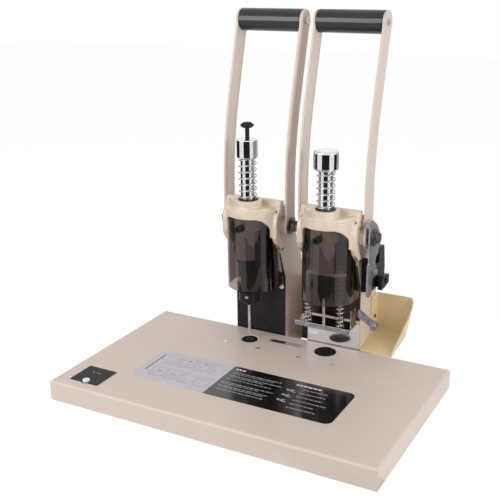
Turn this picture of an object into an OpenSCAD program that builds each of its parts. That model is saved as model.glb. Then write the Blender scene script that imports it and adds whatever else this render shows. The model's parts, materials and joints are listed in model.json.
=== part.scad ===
// Document riveting machine with two lever heads: a hollow drill on the left and a
// tube-rivet press on the right, on one folded sheet-metal base.
// Millimetres, +Z up. X runs across the machine and Y from the operator to the back.
// The floor is Z = 0 and the origin is the centre of the whole footprint.

/* [Base] */
// Width of the base
base_w = 420; // [400:2:470]
// Depth of the base, front edge to back edge
base_d = 250; // [244:1:280]
// Height of the base's top above the floor
base_h = 26.6; // [24.6:0.2:34]
// Thickness of the base's folded sheet
sheet_t = 1.5; // [1:0.1:2]
// Outside radius of the folds along the top edges
fold_r = 3.5; // [2.5:0.1:5]
// Thickness of the plate that closes the base from below
bottom_t = 1.2; // [0.8:0.1:1.6]
// How far the rubber feet stand below the base
foot_proud = 1; // [0.8:0.1:2]
// Diameter of a rubber foot
foot_d = 16; // [12:0.5:22]

/* [Heads] */
// Distance between the drill axis and the rivet axis
head_gap = 107; // [104:0.5:115]
// Distance of the tool axes in front of the base's back edge
head_reach = 32; // [31:0.25:34]
// Height of the smoked guards' lower edge above the base top
guard_clear = 73.4; // [71:0.2:80]
// Height of the smoked guards
guard_h = 97; // [95:0.5:104]
// Outside radius of a guard's round front
guard_r = 35; // [34.4:0.1:35.6]
// Wall of a guard
guard_t = 2; // [1.5:0.1:2.2]
// Height of the casting's skirt above the guard
skirt_h = 9.7; // [9:0.1:12]
// Thickness of the casting's top deck
deck_h = 3.6; // [3:0.1:6]
// Height of the ridge along the deck's rear edge
ridge_h = 6.5; // [4:0.1:8]
// Height of the deck's raised ends above it
wing_rise = 2.7; // [1:0.1:4]
// Diameter of the round boss round the quill
boss_d = 35; // [33:0.5:37]
// Height of that boss
boss_h = 8.7; // [6:0.1:10]
// Outside diameter of the steel sleeve that guides the quill
sleeve_d = 32; // [31:0.2:33]
// Bore of that sleeve
sleeve_bore = 25; // [24:0.2:26]
// Height of the sleeve's lower end above the guard's lower edge
sleeve_lift = 42; // [40:0.5:44]
// Height of a quill bushing's flange
bush_flange = 1.6; // [1:0.1:2.5]

/* [Quills] */
// Diameter of the chromed quills
quill_d = 18; // [17.6:0.1:18.4]
// Bore through the quills
quill_bore = 7.4; // [6.8:0.1:7.6]
// Radial running clearance of a quill, shaft or spindle
run_clear = 0.05; // [0.03:0.01:0.08]
// Open height of the drill head's return spring
drill_spring_h = 52.4; // [48:0.2:60]
// Open height of the rivet head's return spring
rivet_spring_h = 47.4; // [46:0.2:60]
// Turns of a return spring
return_turns = 7; // [5:1:8]
// Wire of a return spring
return_wire = 1.6; // [1.2:0.1:1.8]
// Outside diameter of a return spring
return_d = 23.6; // [23:0.1:25]
// Diameter of the drill head's cap
drill_cap_d = 27.5; // [26:0.5:30]
// Diameter of the rivet head's cap
rivet_cap_d = 31; // [28:0.5:33]
// Height of the caps
cap_h = 23; // [21:0.5:26]

/* [Levers] */
// Travel of the drill's lever in degrees
drill_travel = 70; // [60:1:76]
// Travel of the rivet press's lever in degrees
rivet_travel = 84; // [70:1:86]
// Module of the rack and of the toothed sector
tooth_module = 1.5; // [1.46:0.01:1.54]
// Teeth of a full wheel with the sector's radius
wheel_teeth = 30; // [28:1:31]
// Width of a lever arm
arm_w = 24; // [20:0.5:26]
// Thickness of a lever arm
arm_t = 3; // [2.5:0.1:3.2]
// Radius of an arm's round foot
arm_foot_r = 15; // [14:0.5:16]
// Radius of an arm's round top end
arm_top_r = 13.5; // [13:0.5:15]
// Straight length of an arm above its pivot
arm_straight = 43; // [38:1:50]
// Radius of the arm's backward bend
arm_bend_r = 450; // [400:10:500]
// Angle of that bend in degrees
arm_bend = 15; // [10:0.5:18]
// Length of the arm from the bend to the grip
arm_upper = 96.8; // [90:0.2:110]
// Distance between the two arms of a lever
arm_gap = 85.6; // [85:0.1:86.2]
// Diameter of a grip
grip_d = 28; // [24:0.5:30]
// Diameter of the steel rod inside a grip
grip_rod_d = 8; // [6:0.5:10]
// Diameter of the lever shafts
shaft_d = 14; // [12:0.5:16]

/* [Drill] */
// Diameter of the black spindle motor
motor_d = 21; // [20:0.5:23]
// Length of the spindle motor
motor_len = 44.5; // [40:0.5:46]
// Diameter of the chuck's collar
chuck_d = 27; // [24:0.5:28]
// Diameter of the hollow bit
bit_d = 3.6; // [3.4:0.1:4.2]
// Bore of the hollow bit
bit_bore = 2.2; // [2:0.1:2.4]
// Height of the bit's tip above the base top
tip_clear = 8.3; // [8:0.1:12]
// Diameter of the ejector's knob
knob_d = 17; // [14:0.5:20]
// Travel of the ejector
ejector_travel = 13.5; // [10:0.5:14]
// Diameter of the ejector's stem
stem_d = 5.4; // [5:0.1:6.2]
// Diameter of the drill pad's ring
pad_d = 20.6; // [19:0.2:22]
// Outside diameter of the dish pressed round the pad
pad_dish_d = 27; // [25:0.5:30]

/* [Rivet press] */
// Diameter of the heated die
die_d = 20; // [19.4:0.1:21]
// Height of the die's tip above the base top
die_clear = 79.1; // [78:0.2:84]
// Diameter of the rivet pin
pin_d = 3.8; // [3:0.1:4.2]
// Distance between the presser's two rods
rod_gap = 44; // [43:0.5:46]
// Diameter of the presser's rods
rod_d = 5; // [4:0.1:5.4]
// Travel of the presser against its springs
presser_travel = 28; // [20:1:29]
// Height of the presser's lower edge above the base top
presser_clear = 36.9; // [36:0.1:39]
// Width of the presser
presser_w = 74; // [72:0.5:74.5]
// Diameter of the anvil in the base
anvil_d = 28; // [24:0.5:30]

/* [Columns, cutter and tray] */
// Width of a column
column_w = 73.5; // [73:0.1:73.9]
// Depth of a column
column_d = 55; // [50:0.5:58]
// Thickness of a column's sheet
column_t = 1.5; // [1.2:0.1:1.8]
// Thickness of a column's front panel
panel_t = 1.5; // [1:0.1:1.6]
// Height of the right column's polished plate above the base top
mirror_h = 36; // [30:0.5:50]
// Thickness of the cutter's chrome plate
plate_t = 2; // [1.6:0.1:2.2]
// Depth of the waste tray behind the base's back edge
tray_depth = 59; // [57:0.5:66]
// Wall of the waste tray
tray_t = 2; // [1.5:0.1:2.5]

/* [Hidden] */
$fn = 64;
LEFT = -1;
RIGHT = 1;
// flat gap between neighbours that only lie against each other
seat = 0.2;

// whole machine along Y, measured from the base's front edge
panel_front = base_d + seat;
column_front = panel_front + panel_t;
column_rear = panel_front + column_d;
tray_rear = base_d + tray_depth;
inlet_proud = 2.5;
pivot_r = tooth_module * wheel_teeth / 2;
rack_offset = quill_d / 2 - 1.5;
pivot_y = base_d - head_reach + rack_offset + pivot_r;
grip_back = arm_bend_r * (1 - cos(arm_bend)) + arm_upper * sin(arm_bend);
grip_up = arm_straight + arm_bend_r * sin(arm_bend) + arm_upper * cos(arm_bend);
overall_d = max(tray_rear, column_rear + inlet_proud,
                pivot_y + grip_back + max(grip_d / 2, arm_top_r));

// heights
pan_z = foot_proud;
guard_z = base_h + guard_clear;
guard_top = guard_z + guard_h;
skirt_z = guard_top + seat;
deck_z = skirt_z + skirt_h;
boss_z = deck_z + deck_h;
seat_z = boss_z + boss_h + bush_flange;
pivot_z = guard_top - 15;
sleeve_z = guard_z + sleeve_lift;
drill_cap_z = seat_z + drill_spring_h;
rivet_cap_z = seat_z + rivet_spring_h;
// height above everything, for cuts that go right through
past = 2 * drill_cap_z;
drill_feed = pivot_r * drill_travel * PI / 180;
rivet_feed = pivot_r * rivet_travel * PI / 180;

// positions along Y inside a head, from the tool axis
u_y = head_reach - 16.5;
pivot_dy = pivot_y - (base_d - head_reach);
panel_dy = panel_front - (base_d - head_reach);
column_dy = column_front - (base_d - head_reach);
rear_dy = column_rear - (base_d - head_reach);
casting_rear_dy = u_y + 6.5;
casting_rear = base_d - head_reach + casting_rear_dy;
column_r = column_w / 2;
arm_in = arm_gap / 2;
arm_out = arm_in + arm_t;

// ---------------------------------------------------------------- helpers

// the children, drawn from the base's front edge, moved to the origin
module from_front() { translate([0, -overall_d / 2, 0]) children(); }

// the children, drawn round a tool axis, moved to the left or right head
module head(side) {
  from_front() translate([side * head_gap / 2, base_d - head_reach, 0]) children();
}

// a flat outline in (y, z), given the thickness t from x on towards +X
module side_plate(x, t) {
  translate([x, 0, 0]) rotate([90, 0, 90]) linear_extrude(t) children();
}

// a cylinder along +X from the given point
module along_x(at, r, h) { translate(at) rotate([0, 90, 0]) cylinder(r = r, h = h); }

// a cylinder along +Y from the given point
module along_y(at, r, h) { translate(at) rotate([-90, 0, 0]) cylinder(r = r, h = h); }

// a cylinder along +Z between two heights
module upright(r, z0, z1) { translate([0, 0, z0]) cylinder(r = r, h = z1 - z0); }

// a flat rectangle with round corners, centred
module round_rect(w, d, r) {
  square([w - 2 * r, d], center = true);
  square([w, d - 2 * r], center = true);
  for (sx = [-1, 1], sy = [-1, 1])
    translate([sx * (w / 2 - r), sy * (d / 2 - r)]) circle(r);
}

// the guard's outline in plan: a half circle with straight sides back to y
module u_plan(r, y) {
  intersection() {
    translate([0, u_y]) circle(r);
    translate([-r, u_y - r]) square([2 * r, r]);
  }
  translate([-r, u_y]) square([2 * r, y - u_y]);
}

// path points moved to the right of the walking direction by t
function unit(v) = v / norm(v);
function turn(v) = [v[1], -v[0]];
function inset_path(p, t) = [for (i = [0 : len(p) - 1])
  let (a = turn(unit(p[min(i + 1, len(p) - 1)] - p[min(i, len(p) - 2)])),
       b = turn(unit(p[max(i, 1)] - p[max(i - 1, 0)])))
  p[i] + t * (a + b) / (1 + a * b)];

// ---------------------------------------------------------------- springs

// centre line of a coil that ends straight for one wire on its two seats
function coil_path(r, wire, h, turns) =
  let (steps = turns * 8, rise = h - 2 * wire)
  concat([[r, 0, 0]],
         [for (i = [0 : steps]) [r * cos(i * 45), r * sin(i * 45), wire + rise * i / steps]],
         [[r * cos(steps * 45), r * sin(steps * 45), h]]);
function coil_dir(p, i) = i == 0 || i == len(p) - 1 ? [0, 0, 1]
  : unit(p[i + 1] - p[i - 1]);
function coil_ring(p, i, wire) =
  let (out = unit([p[i][0], p[i][1], 0]), dir = coil_dir(p, i),
       side = unit(cross(dir, out)), face = cross(side, dir))
  [for (k = [0 : 5]) p[i] + wire / 2 * (cos(k * 60) * face + sin(k * 60) * side)];

// least distance of the wire to itself, measured between points two thirds of a turn apart
function coil_gap(p, wire) =
  min([for (i = [0 : len(p) - 7], j = [i + 6 : len(p) - 1]) norm(p[i] - p[j])]) - wire;

module coil_spring(r, wire, h, turns) {
  path = coil_path(r, wire, h, turns);
  n = len(path);
  echo(coil_gap = coil_gap(path, wire));
  points = [for (i = [0 : n - 1]) each coil_ring(path, i, wire)];
  sides = [for (i = [0 : n - 2], k = [0 : 5])
    let (a = 6 * i + k, b = 6 * i + (k + 1) % 6) each [[a, b, b + 6], [a, b + 6, a + 6]]];
  start = [for (k = [1 : 4]) [0, k + 1, k]];
  end = [for (k = [1 : 4]) [6 * n - 6, 6 * n - 6 + k, 6 * n - 5 + k]];
  polyhedron(points, [for (f = concat(sides, start, end)) [f[0], f[2], f[1]]]);
}

// ---------------------------------------------------------------- base

pad_at = [-head_gap / 2, base_d - head_reach];
anvil_at = [head_gap / 2 - 0.6, base_d - head_reach + 8];
pad_hole_d = pad_d + 0.4;
pad_dish_h = sheet_t - 0.2;
pad_sunk = 0.4;
pad_bush_d = 9;
bracket_screw_gap = 48;
bracket_screw_y = base_d - 55;
button_at = [-base_w / 2 + 41, 18.5];
control_at = [-base_w / 2 + 40, 34];
control_size = [41, 40];
button_d = 9;
button_gap = 0.25;
button_travel = 1.2;
switch_r = button_d / 2 + 1.5;
switch_h = 12;
tab_half = 12;
tab_at = [base_w / 2 - tab_half, tab_half];
bottom_z = pan_z + 0.2;
bolt_x = 22;
bolt_z = 14;
bolt_d = 6;

// the folded pan's outline, shrunk by t on every side but the open bottom
module pan_block(t) {
  module arch(w, z0) {
    r = fold_r - t;
    translate([-w / 2 + t, z0]) square([w - 2 * t, base_h - t - r - z0]);
    translate([-w / 2 + t + r, z0]) square([w - 2 * t - 2 * r, base_h - t - z0]);
    for (s = [-1, 1]) translate([s * (w / 2 - t - r), base_h - t - r]) circle(r);
  }
  z0 = t > 0 ? pan_z - 1 : pan_z;
  translate([0, base_d, 0]) rotate([90, 0, 0]) linear_extrude(base_d)
    arch(base_w, z0);
}

module pan_cross(t) {
  r = fold_r - t;
  z0 = t > 0 ? pan_z - 1 : pan_z;
  side_plate(-base_w / 2, base_w) {
    translate([t, z0]) square([base_d - 2 * t, base_h - t - r - z0]);
    translate([t + r, z0]) square([base_d - 2 * t - 2 * r, base_h - t - z0]);
    for (y = [t + r, base_d - t - r]) translate([y, base_h - t - r]) circle(r);
  }
}

// the four corner tabs that the bottom plate is screwed to
module corner_tabs(z, h) {
  for (sx = [-1, 1], y = [tab_at[1], base_d - tab_at[1]])
    translate([sx * tab_at[0] - tab_half, y - tab_half, z]) cube([2 * tab_half, 2 * tab_half, h]);
}

module base_pan() {
  tab_z = bottom_z + bottom_t;
  color("antiquewhite") from_front() difference() {
    union() {
      difference() {
        intersection() { pan_block(0); pan_cross(0); }
        intersection() { pan_block(sheet_t); pan_cross(sheet_t); }
      }
      intersection() {
        corner_tabs(tab_z, 2);
        pan_block(0);
        pan_cross(0);
      }
    }
    translate(pad_at) cylinder(d = pad_hole_d, h = 2 * base_h);
    translate(pad_at) rotate_extrude()
      polygon([[0, base_h - pad_dish_h], [pad_hole_d / 2, base_h - pad_dish_h],
               [pad_dish_d / 2, base_h], [pad_dish_d / 2, base_h + 1], [0, base_h + 1]]);
    translate(anvil_at) cylinder(d = anvil_d, h = 2 * base_h);
    for (s = [LEFT, RIGHT], k = [-0.5, 0.5])
      translate([s * head_gap / 2 + k * bracket_screw_gap, bracket_screw_y, base_h / 2])
        cylinder(d = 4, h = base_h);
    translate([button_at[0], button_at[1], base_h / 2]) cylinder(r = switch_r, h = base_h);
    for (sx = [-1, 1], y = [tab_at[1], base_d - tab_at[1]])
      translate([sx * tab_at[0], y, 0]) cylinder(d = 3, h = tab_z + 3);
    for (s = [LEFT, RIGHT], k = [-1, 1])
      along_y([s * head_gap / 2 + k * bolt_x, base_d - 10, bolt_z], bolt_d / 2, 20);
  }
}

module base_bottom_plate() {
  color("silver") from_front() difference() {
    translate([-base_w / 2 + sheet_t + seat, sheet_t + seat, bottom_z])
      cube([base_w - 2 * sheet_t - 2 * seat, base_d - 2 * sheet_t - 2 * seat, bottom_t]);
    for (sx = [-1, 1], y = [tab_at[1], base_d - tab_at[1]])
      translate([sx * tab_at[0], y, 0]) cylinder(d = 3.2, h = base_h);
    for (sx = [-1, 1], y = [30, base_d - 30])
      translate([sx * (base_w / 2 - 30), y, 0]) cylinder(d = 5, h = base_h);
  }
}

// each foot is a disc with a short stem pressed up through the bottom plate
module rubber_feet() {
  color("dimgray") from_front() for (sx = [-1, 1], y = [30, base_d - 30])
    translate([sx * (base_w / 2 - 30), y, 0]) {
      cylinder(d = foot_d, h = bottom_z);
      cylinder(d = 5, h = bottom_z + bottom_t);
      upright(4, bottom_z + bottom_t, bottom_z + bottom_t + 1.5);
    }
}

module base_screws() {
  color("silver") from_front() for (sx = [-1, 1], y = [tab_at[1], base_d - tab_at[1]])
    translate([sx * tab_at[0], y, 0]) {
      upright(2.6, bottom_z - 0.9, bottom_z);
      upright(1.5, bottom_z - 0.9, bottom_z + bottom_t + 2);
    }
}

// round-headed screws on the base's top, two for each bracket below
module bracket_screws() {
  color("gray") from_front() for (s = [LEFT, RIGHT], k = [-0.5, 0.5])
    translate([s * head_gap / 2 + k * bracket_screw_gap, bracket_screw_y, 0])
      difference() {
        union() {
          upright(2, base_h - sheet_t - 9, base_h + 0.2);
          upright(3, base_h, base_h + 0.5);
        }
        upright(1.2, base_h + 0.1, base_h + 1);
      }
}

// steel blocks under the sheet that carry the drill pad and the anvil
bracket_h = base_h - sheet_t - bottom_z - bottom_t - 4;
bracket_w = 64;
bracket_d = 48;
bracket_rim = 7;
module die_brackets() {
  top = base_h - sheet_t;
  color("gray") from_front() for (s = [LEFT, RIGHT]) difference() {
    translate([s * head_gap / 2 - bracket_w / 2, bracket_screw_y - bracket_rim, top - bracket_h])
      cube([bracket_w, bracket_d, bracket_h]);
    for (k = [-0.5, 0.5])
      translate([s * head_gap / 2 + k * bracket_screw_gap, bracket_screw_y, top - 9])
        cylinder(d = 4, h = 20);
    translate([pad_at[0], pad_at[1], 0]) cylinder(d = 8, h = base_h);
    translate([pad_at[0], pad_at[1], top - 4]) cylinder(d = pad_hole_d, h = base_h);
    translate([anvil_at[0], anvil_at[1], top - 4]) cylinder(d = anvil_d, h = base_h);
  }
}

label_size = [266, 79];
label_y = 96.5;
label_split = -28.5;
label_t = 0.25;
module label_half(x0, x1) {
  from_front() translate([0, 0, base_h]) linear_extrude(label_t) intersection() {
    translate([0, label_y]) round_rect(label_size[0], label_size[1], 9);
    translate([x0, 0]) square([x1 - x0, base_d]);
  }
}
module instruction_label_light() { color("gainsboro") label_half(-base_w / 2, label_split); }
module instruction_label_dark() { color("black") label_half(label_split, base_w / 2); }

arrow_size = [48, 11];
arrow_at = [-3.8, base_d - 24];
module arrow_label() {
  color("dimgray") from_front() translate([arrow_at[0], arrow_at[1], base_h])
    linear_extrude(label_t) round_rect(arrow_size[0], arrow_size[1], 2);
}

// plate with the body of the switch below it
module control_plate() {
  color("black") from_front() difference() {
    union() {
      translate([control_at[0], control_at[1], base_h]) linear_extrude(0.5)
        round_rect(control_size[0], control_size[1], 1.5);
      translate(button_at) upright(switch_r, base_h - switch_h, base_h);
    }
    translate(button_at) upright(button_d / 2 + button_gap, base_h - switch_h + 3, 60);
  }
}

module start_button() {
  low = base_h - switch_h + 3 + button_travel + 0.3;
  color("white") from_front() translate(button_at)
    upright(button_d / 2, low, base_h + button_travel + 1);
}

// black ring with a hollow centre that the bit drops into
module drill_pad() {
  color("black") from_front() translate(pad_at) difference() {
    upright(pad_d / 2, base_h - sheet_t - 4, base_h - pad_sunk);
    upright(pad_bush_d / 2, 0, 2 * base_h);
  }
}

module drill_pad_sleeve() {
  color("silver") from_front() translate(pad_at) difference() {
    upright(pad_bush_d / 2, base_h - sheet_t - 4, base_h - pad_sunk + 0.3);
    upright(bit_d / 2 + 0.7, 0, 2 * base_h);
  }
}

module rivet_anvil() {
  color("black") from_front() translate(anvil_at)
    upright(anvil_d / 2, base_h - sheet_t - 4, base_h + 0.4);
}

// ---------------------------------------------------------------- columns

// the column's back, from the floor up to its top behind the casting
plate_top = deck_z - 1.8;
cover_top = deck_z + 1.1;
column_back = [[column_rear, pan_z], [column_rear, guard_z], [column_rear - 8, guard_z + 33],
               [column_rear - 21, guard_z + 58], [column_rear - 43, cover_top - 6.6],
               [pivot_y + 6, cover_top], [casting_rear + seat, cover_top]];
wing_y = base_d - head_reach + u_y - 8;
column_front_line = [[casting_rear + seat, plate_top], [wing_y + 9, plate_top],
                     [wing_y, plate_top - 17], [wing_y, pivot_z - 15],
                     [wing_y + 11, pivot_z - 31], [column_front, guard_z + 12],
                     [column_front, pan_z]];

module column(side) {
  back = [for (p = column_back) p - [base_d - head_reach, 0]];
  front = [for (p = column_front_line) p - [base_d - head_reach, 0]];
  inner = inset_path([for (i = [len(back) - 1 : -1 : 0]) back[i]], column_t);
  head(side) difference() {
    union() {
      for (x = [-column_r, column_r - column_t])
        side_plate(x, column_t) polygon(concat(back, front));
      side_plate(-column_r, column_w) polygon(concat(back, inner));
      // foot that is bolted to the base's back wall, on the right up to the open front
      translate([-column_r, column_dy, pan_z])
        cube([column_w, column_t, (side == RIGHT ? mirror_top + lip_h : base_h) - pan_z]);
    }
    along_x([-column_r - 1, pivot_dy, pivot_z], bush_d / 2, column_w + 2);
    for (s = [-1, 1]) {
      along_y([s * bolt_x, 0, bolt_z], bolt_d / 2, column_dy + 3);
      along_x([s * column_r - 3, casting_screw[0], casting_screw[1]], 1.5, 6);
    }
    if (side == RIGHT) {
      for (p = cutter_screws) along_x([column_r - 3, p[0], p[1]], 1.5, 6);
      for (p = tray_screws) along_x([column_r - 3, p[0], p[1]], 1.5, 6);
    } else {
      translate([inlet_x, rear_dy - 5, inlet_z])
        cube([inlet_w, 20, inlet_h], center = true);
    }
  }
}

module left_column() { color("linen") column(LEFT); }
module right_column() { color("linen") column(RIGHT); }

// front panels between the base's back wall and the columns: the left one closes its
// column, and the right one ends below the press and leaves its column open
panel_screw_x = column_r - 4.75;
panel_screw_z = guard_z - 4;
panel_top = guard_z + 52;
panel_neck = column_w - 13.5;
panel_shoulder = guard_z + 11;
mirror_top = base_h + mirror_h;
lip_h = 3.4;
module front_panel(side, top) {
  head(side) difference() {
    translate([-column_r, panel_dy, pan_z]) cube([column_w, panel_t, top - pan_z]);
    for (s = [-1, 1]) along_y([s * bolt_x, 0, bolt_z], bolt_d / 2, 60);
    if (side == LEFT) for (s = [-1, 1]) {
      along_y([s * panel_screw_x, 0, panel_screw_z], 1.5, 60);
      // the upper part is narrower and goes between the side plates
      translate([s * (panel_neck + column_w) / 2, panel_dy, panel_shoulder + top / 2])
        cube([column_w, 10, top], center = true);
    }
  }
}
module left_front_panel() { color("black") front_panel(LEFT, panel_top); }
module right_front_plate() { color("lightgray") front_panel(RIGHT, mirror_top); }

module panel_screws() {
  y = panel_dy;
  color("silver") for (s = [-1, 1]) head(LEFT) difference() {
    union() {
      along_y([s * panel_screw_x, y - 1.6, panel_screw_z], 3.4, 1.6);
      along_y([s * panel_screw_x, y - 1.6, panel_screw_z], 1.5, 8);
    }
    for (a = [0, 90]) translate([s * panel_screw_x, y - 1.6, panel_screw_z])
      rotate([0, a, 0]) cube([3.6, 1.6, 0.8], center = true);
  }
}

// bolts with nuts that join the base's back wall to the columns' feet
module column_bolts() {
  y0 = head_reach - sheet_t;
  color("gray") for (side = [LEFT, RIGHT], s = [-1, 1]) head(side) {
    along_y([s * bolt_x, y0 - 3.5, bolt_z], 5, 3.5);
    along_y([s * bolt_x, y0 - 3.5, bolt_z], bolt_d / 2, 18);
    along_y([s * bolt_x, column_dy + column_t, bolt_z], 5.5, 5);
  }
}

// small screws on the side plates: casting, tray and cutter
casting_screw = [u_y + 8.2, pivot_z - 30];
cutter_screws = [[column_dy + 10, guard_z + 16], [column_dy + 36, guard_z + 30]];
tray_screws = [[column_dy + 46, base_h + 18], [column_dy + 46, base_h + 31]];
module side_screw(x, p, outward) {
  along_x([outward > 0 ? x - 6 : x, p[0], p[1]], 1.5, 6);
  along_x([outward > 0 ? x : x - 1.2, p[0], p[1]], 2.6, 1.2);
}
module side_screws() {
  color("dimgray") {
    for (side = [LEFT, RIGHT]) head(side) {
      side_screw(column_r, casting_screw, 1);
      side_screw(-column_r, casting_screw, -1);
    }
    head(RIGHT) {
      for (p = cutter_screws) side_screw(column_r - column_t, p, -1);
      for (p = tray_screws) side_screw(column_r + tray_t, p, 1);
    }
  }
}

inlet_x = 0;
inlet_z = 60;
inlet_w = 27;
inlet_h = 20;
inlet_wall = 1.5;
flange_size = [48, 28];
flange_screw_x = 20;
// socket for a mains lead in the left column's back wall
module power_inlet() {
  rear = rear_dy;
  color("black") head(LEFT) difference() {
    union() {
      translate([inlet_x - inlet_w / 2, rear - 20, inlet_z - inlet_h / 2])
        cube([inlet_w, 20, inlet_h]);
      translate([inlet_x - flange_size[0] / 2, rear, inlet_z - flange_size[1] / 2])
        cube([flange_size[0], inlet_proud, flange_size[1]]);
    }
    translate([inlet_x - inlet_w / 2 + inlet_wall, rear - 14, inlet_z - inlet_h / 2 + 2])
      cube([inlet_w - 2 * inlet_wall, 30, inlet_h - 4]);
    for (s = [-1, 1]) along_y([inlet_x + s * flange_screw_x, rear - 1, inlet_z], 1.6, 10);
  }
}

// supply for the motor and the heater, bolted to the left column's foot plate
board_size = [52, 2, 60];
coil_size = [30, 14, 26];
strap_d = 12;
module power_supply() {
  board_y = column_dy + column_t + strap_d;
  color("green") head(LEFT) {
    translate([-board_size[0] / 2, board_y, pan_z + 1]) cube(board_size);
    translate([8 - board_size[0] / 2, board_y + board_size[1], pan_z + board_size[2] / 2])
      cube(coil_size);
    translate([-board_size[0] / 2, board_y - strap_d, pan_z + 22])
      cube([board_size[0], strap_d, 3]);
  }
}

// ---------------------------------------------------------------- castings and guards

bush_d = 20;
bush_flange_d = 24;
bush_len = 13.6;
bush_end = arm_in - 0.4;
module lever_bushes() {
  color("wheat") for (side = [LEFT, RIGHT], s = [-1, 1]) head(side)
    mirror([s < 0 ? 1 : 0, 0, 0]) difference() {
      union() {
        along_x([bush_end - bush_len, pivot_dy, pivot_z], bush_d / 2, bush_len);
        along_x([column_r, pivot_dy, pivot_z], bush_flange_d / 2, bush_end - column_r);
      }
      along_x([0, pivot_dy, pivot_z], shaft_d / 2 + run_clear, 60);
    }
}

rail_w = 6.6;
// the curved front edge that the guard lies against, in (y, z)
rail_line = [[u_y - 2.5, deck_z + 2], [u_y - 11.5, pivot_z + 18], [u_y - 14, pivot_z + 7],
             [u_y - 14, pivot_z - 11], [u_y - 9.5, pivot_z - 19], [u_y + 1, pivot_z - 29]];
rail_back = [[u_y + 7, pivot_z - 26], [u_y, pivot_z - 16], [u_y - 7.8, pivot_z - 8],
             [u_y - 7.8, pivot_z + 16], [u_y + 3, deck_z + 2]];

// the skirt hangs lower beside the rails, above the guard's swept edge
skirt_over = 1.2;
cheek_side = [[u_y - 30, skirt_z + 1], [u_y - 30, skirt_z], [u_y - 24.7, pivot_z + 12.4],
              [u_y - 17.7, pivot_z + 5.4], [u_y - 15.3, pivot_z + 0.8],
              [u_y - 15.3, pivot_z - 10], [u_y - 8.5, pivot_z - 10], [u_y - 8.5, skirt_z + 1]];
wing_over = 2.8;
wing_w = 6;
ridge_d = 8.5;
lug_x = column_r - column_t - 2.2;

slot_w = 13;
slot_low = pivot_z - pivot_r - tooth_module - 0.8;
// room for the toothed sector behind the quill, up to the deck
module sector_slot() { translate([-slot_w / 2, 4, slot_low]) cube([slot_w, 60, deck_z - slot_low]); }
module head_casting() {
  rear = casting_rear_dy;
  top_r = guard_r - 1.5;
  hollow_r = guard_r - 3;
  color("wheat") difference() {
    union() {
      // skirt over the guard, and the deck on it
      translate([0, 0, skirt_z]) linear_extrude(skirt_h) u_plan(guard_r + skirt_over, rear);
      translate([0, 0, deck_z]) linear_extrude(deck_h) u_plan(top_r, rear);
      upright(boss_d / 2, deck_z, boss_z + boss_h);
      intersection() {
        translate([0, 0, pivot_z - 12]) linear_extrude(skirt_z - pivot_z + 14) difference() {
          u_plan(guard_r + skirt_over, u_y + 1);
          u_plan(guard_r - guard_t, u_y + 2);
        }
        side_plate(-60, 120) polygon(cheek_side);
      }
      // wings over the columns' side plates, and the ridge behind the boss
      translate([-column_r - wing_over, u_y - 4, skirt_z])
        cube([column_w + 2 * wing_over, rear - u_y + 4, skirt_h + deck_h]);
      for (x = [-column_r - wing_over, column_r + wing_over - wing_w])
        translate([x, u_y - 4, skirt_z])
          cube([wing_w, rear - u_y + 4, skirt_h + deck_h + wing_rise]);
      translate([-column_r - wing_over, rear - ridge_d, deck_z])
        cube([column_w + 2 * wing_over, ridge_d, deck_h + ridge_h]);
      // front rails that cover the side plates' edges
      for (x = [-column_r - wing_over, column_r + wing_over - rail_w])
        side_plate(x, rail_w) polygon(concat(rail_line, rail_back));
      // lugs for the casting screws
      for (s = [-1, 1])
        translate([s * lug_x, casting_screw[0], casting_screw[1]])
          cube([4, 9, 13], center = true);
    }
    // hollow inside
    difference() {
      translate([0, 0, skirt_z - 1]) linear_extrude(skirt_h + 1) u_plan(hollow_r, rear + 5);
      upright(sleeve_d / 2 + 1.3, skirt_z - 2, deck_z + 1);
    }
    // room for the columns' side plates
    for (s = [-1, 1])
      translate([s > 0 ? column_r - column_t - 0.2 : -column_r - 0.2, u_y - 8.3, pivot_z - 50])
        cube([column_t + 0.4, 60, plate_top - pivot_z + 50.3]);
    sector_slot();
    upright(sleeve_d / 2, 0, deck_z);
    upright(bush_outer, 0, past);
    along_y([0, -60, guard_screw_z], 2.5, 50);
    for (s = [-1, 1]) along_x([s * lug_x - 10, casting_screw[0], casting_screw[1]], 1.5, 20);
  }
}

// ring below the skirt that takes the guard's screw
module screw_ring() {
  color("wheat") difference() {
    upright(sleeve_d / 2 + 1.3, guard_screw_z - 6, skirt_z);
    upright(sleeve_d / 2, 0, past);
    sector_slot();
    along_y([0, -60, guard_screw_z], 2.5, 50);
  }
}

module drill_casting() { head(LEFT) { head_casting(); screw_ring(); } }
module rivet_casting() { head(RIGHT) { head_casting(); screw_ring(); } }

module guide_sleeve() {
  color("silver") difference() {
    upright(sleeve_d / 2, sleeve_z, deck_z);
    upright(sleeve_bore / 2, 0, past);
    sector_slot();
    along_y([0, -60, guard_screw_z], 2.5, 50);
  }
}
module drill_guide_sleeve() { head(LEFT) guide_sleeve(); }
module rivet_guide_sleeve() { head(RIGHT) guide_sleeve(); }

bush_outer = 11;
lower_bush_h = 14;
module quill_bushings() {
  color("dimgray") for (side = [LEFT, RIGHT]) head(side) {
    difference() {
      union() {
        upright(bush_outer, deck_z, boss_z + boss_h);
        upright(bush_outer + 1.5, boss_z + boss_h, seat_z);
      }
      upright(quill_d / 2 + run_clear, 0, past);
    }
    difference() {
      upright(sleeve_bore / 2, sleeve_z, sleeve_z + lower_bush_h);
      upright(quill_d / 2 + run_clear, 0, past);
    }
  }
}

guard_screw_z = guard_top - 11;
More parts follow.
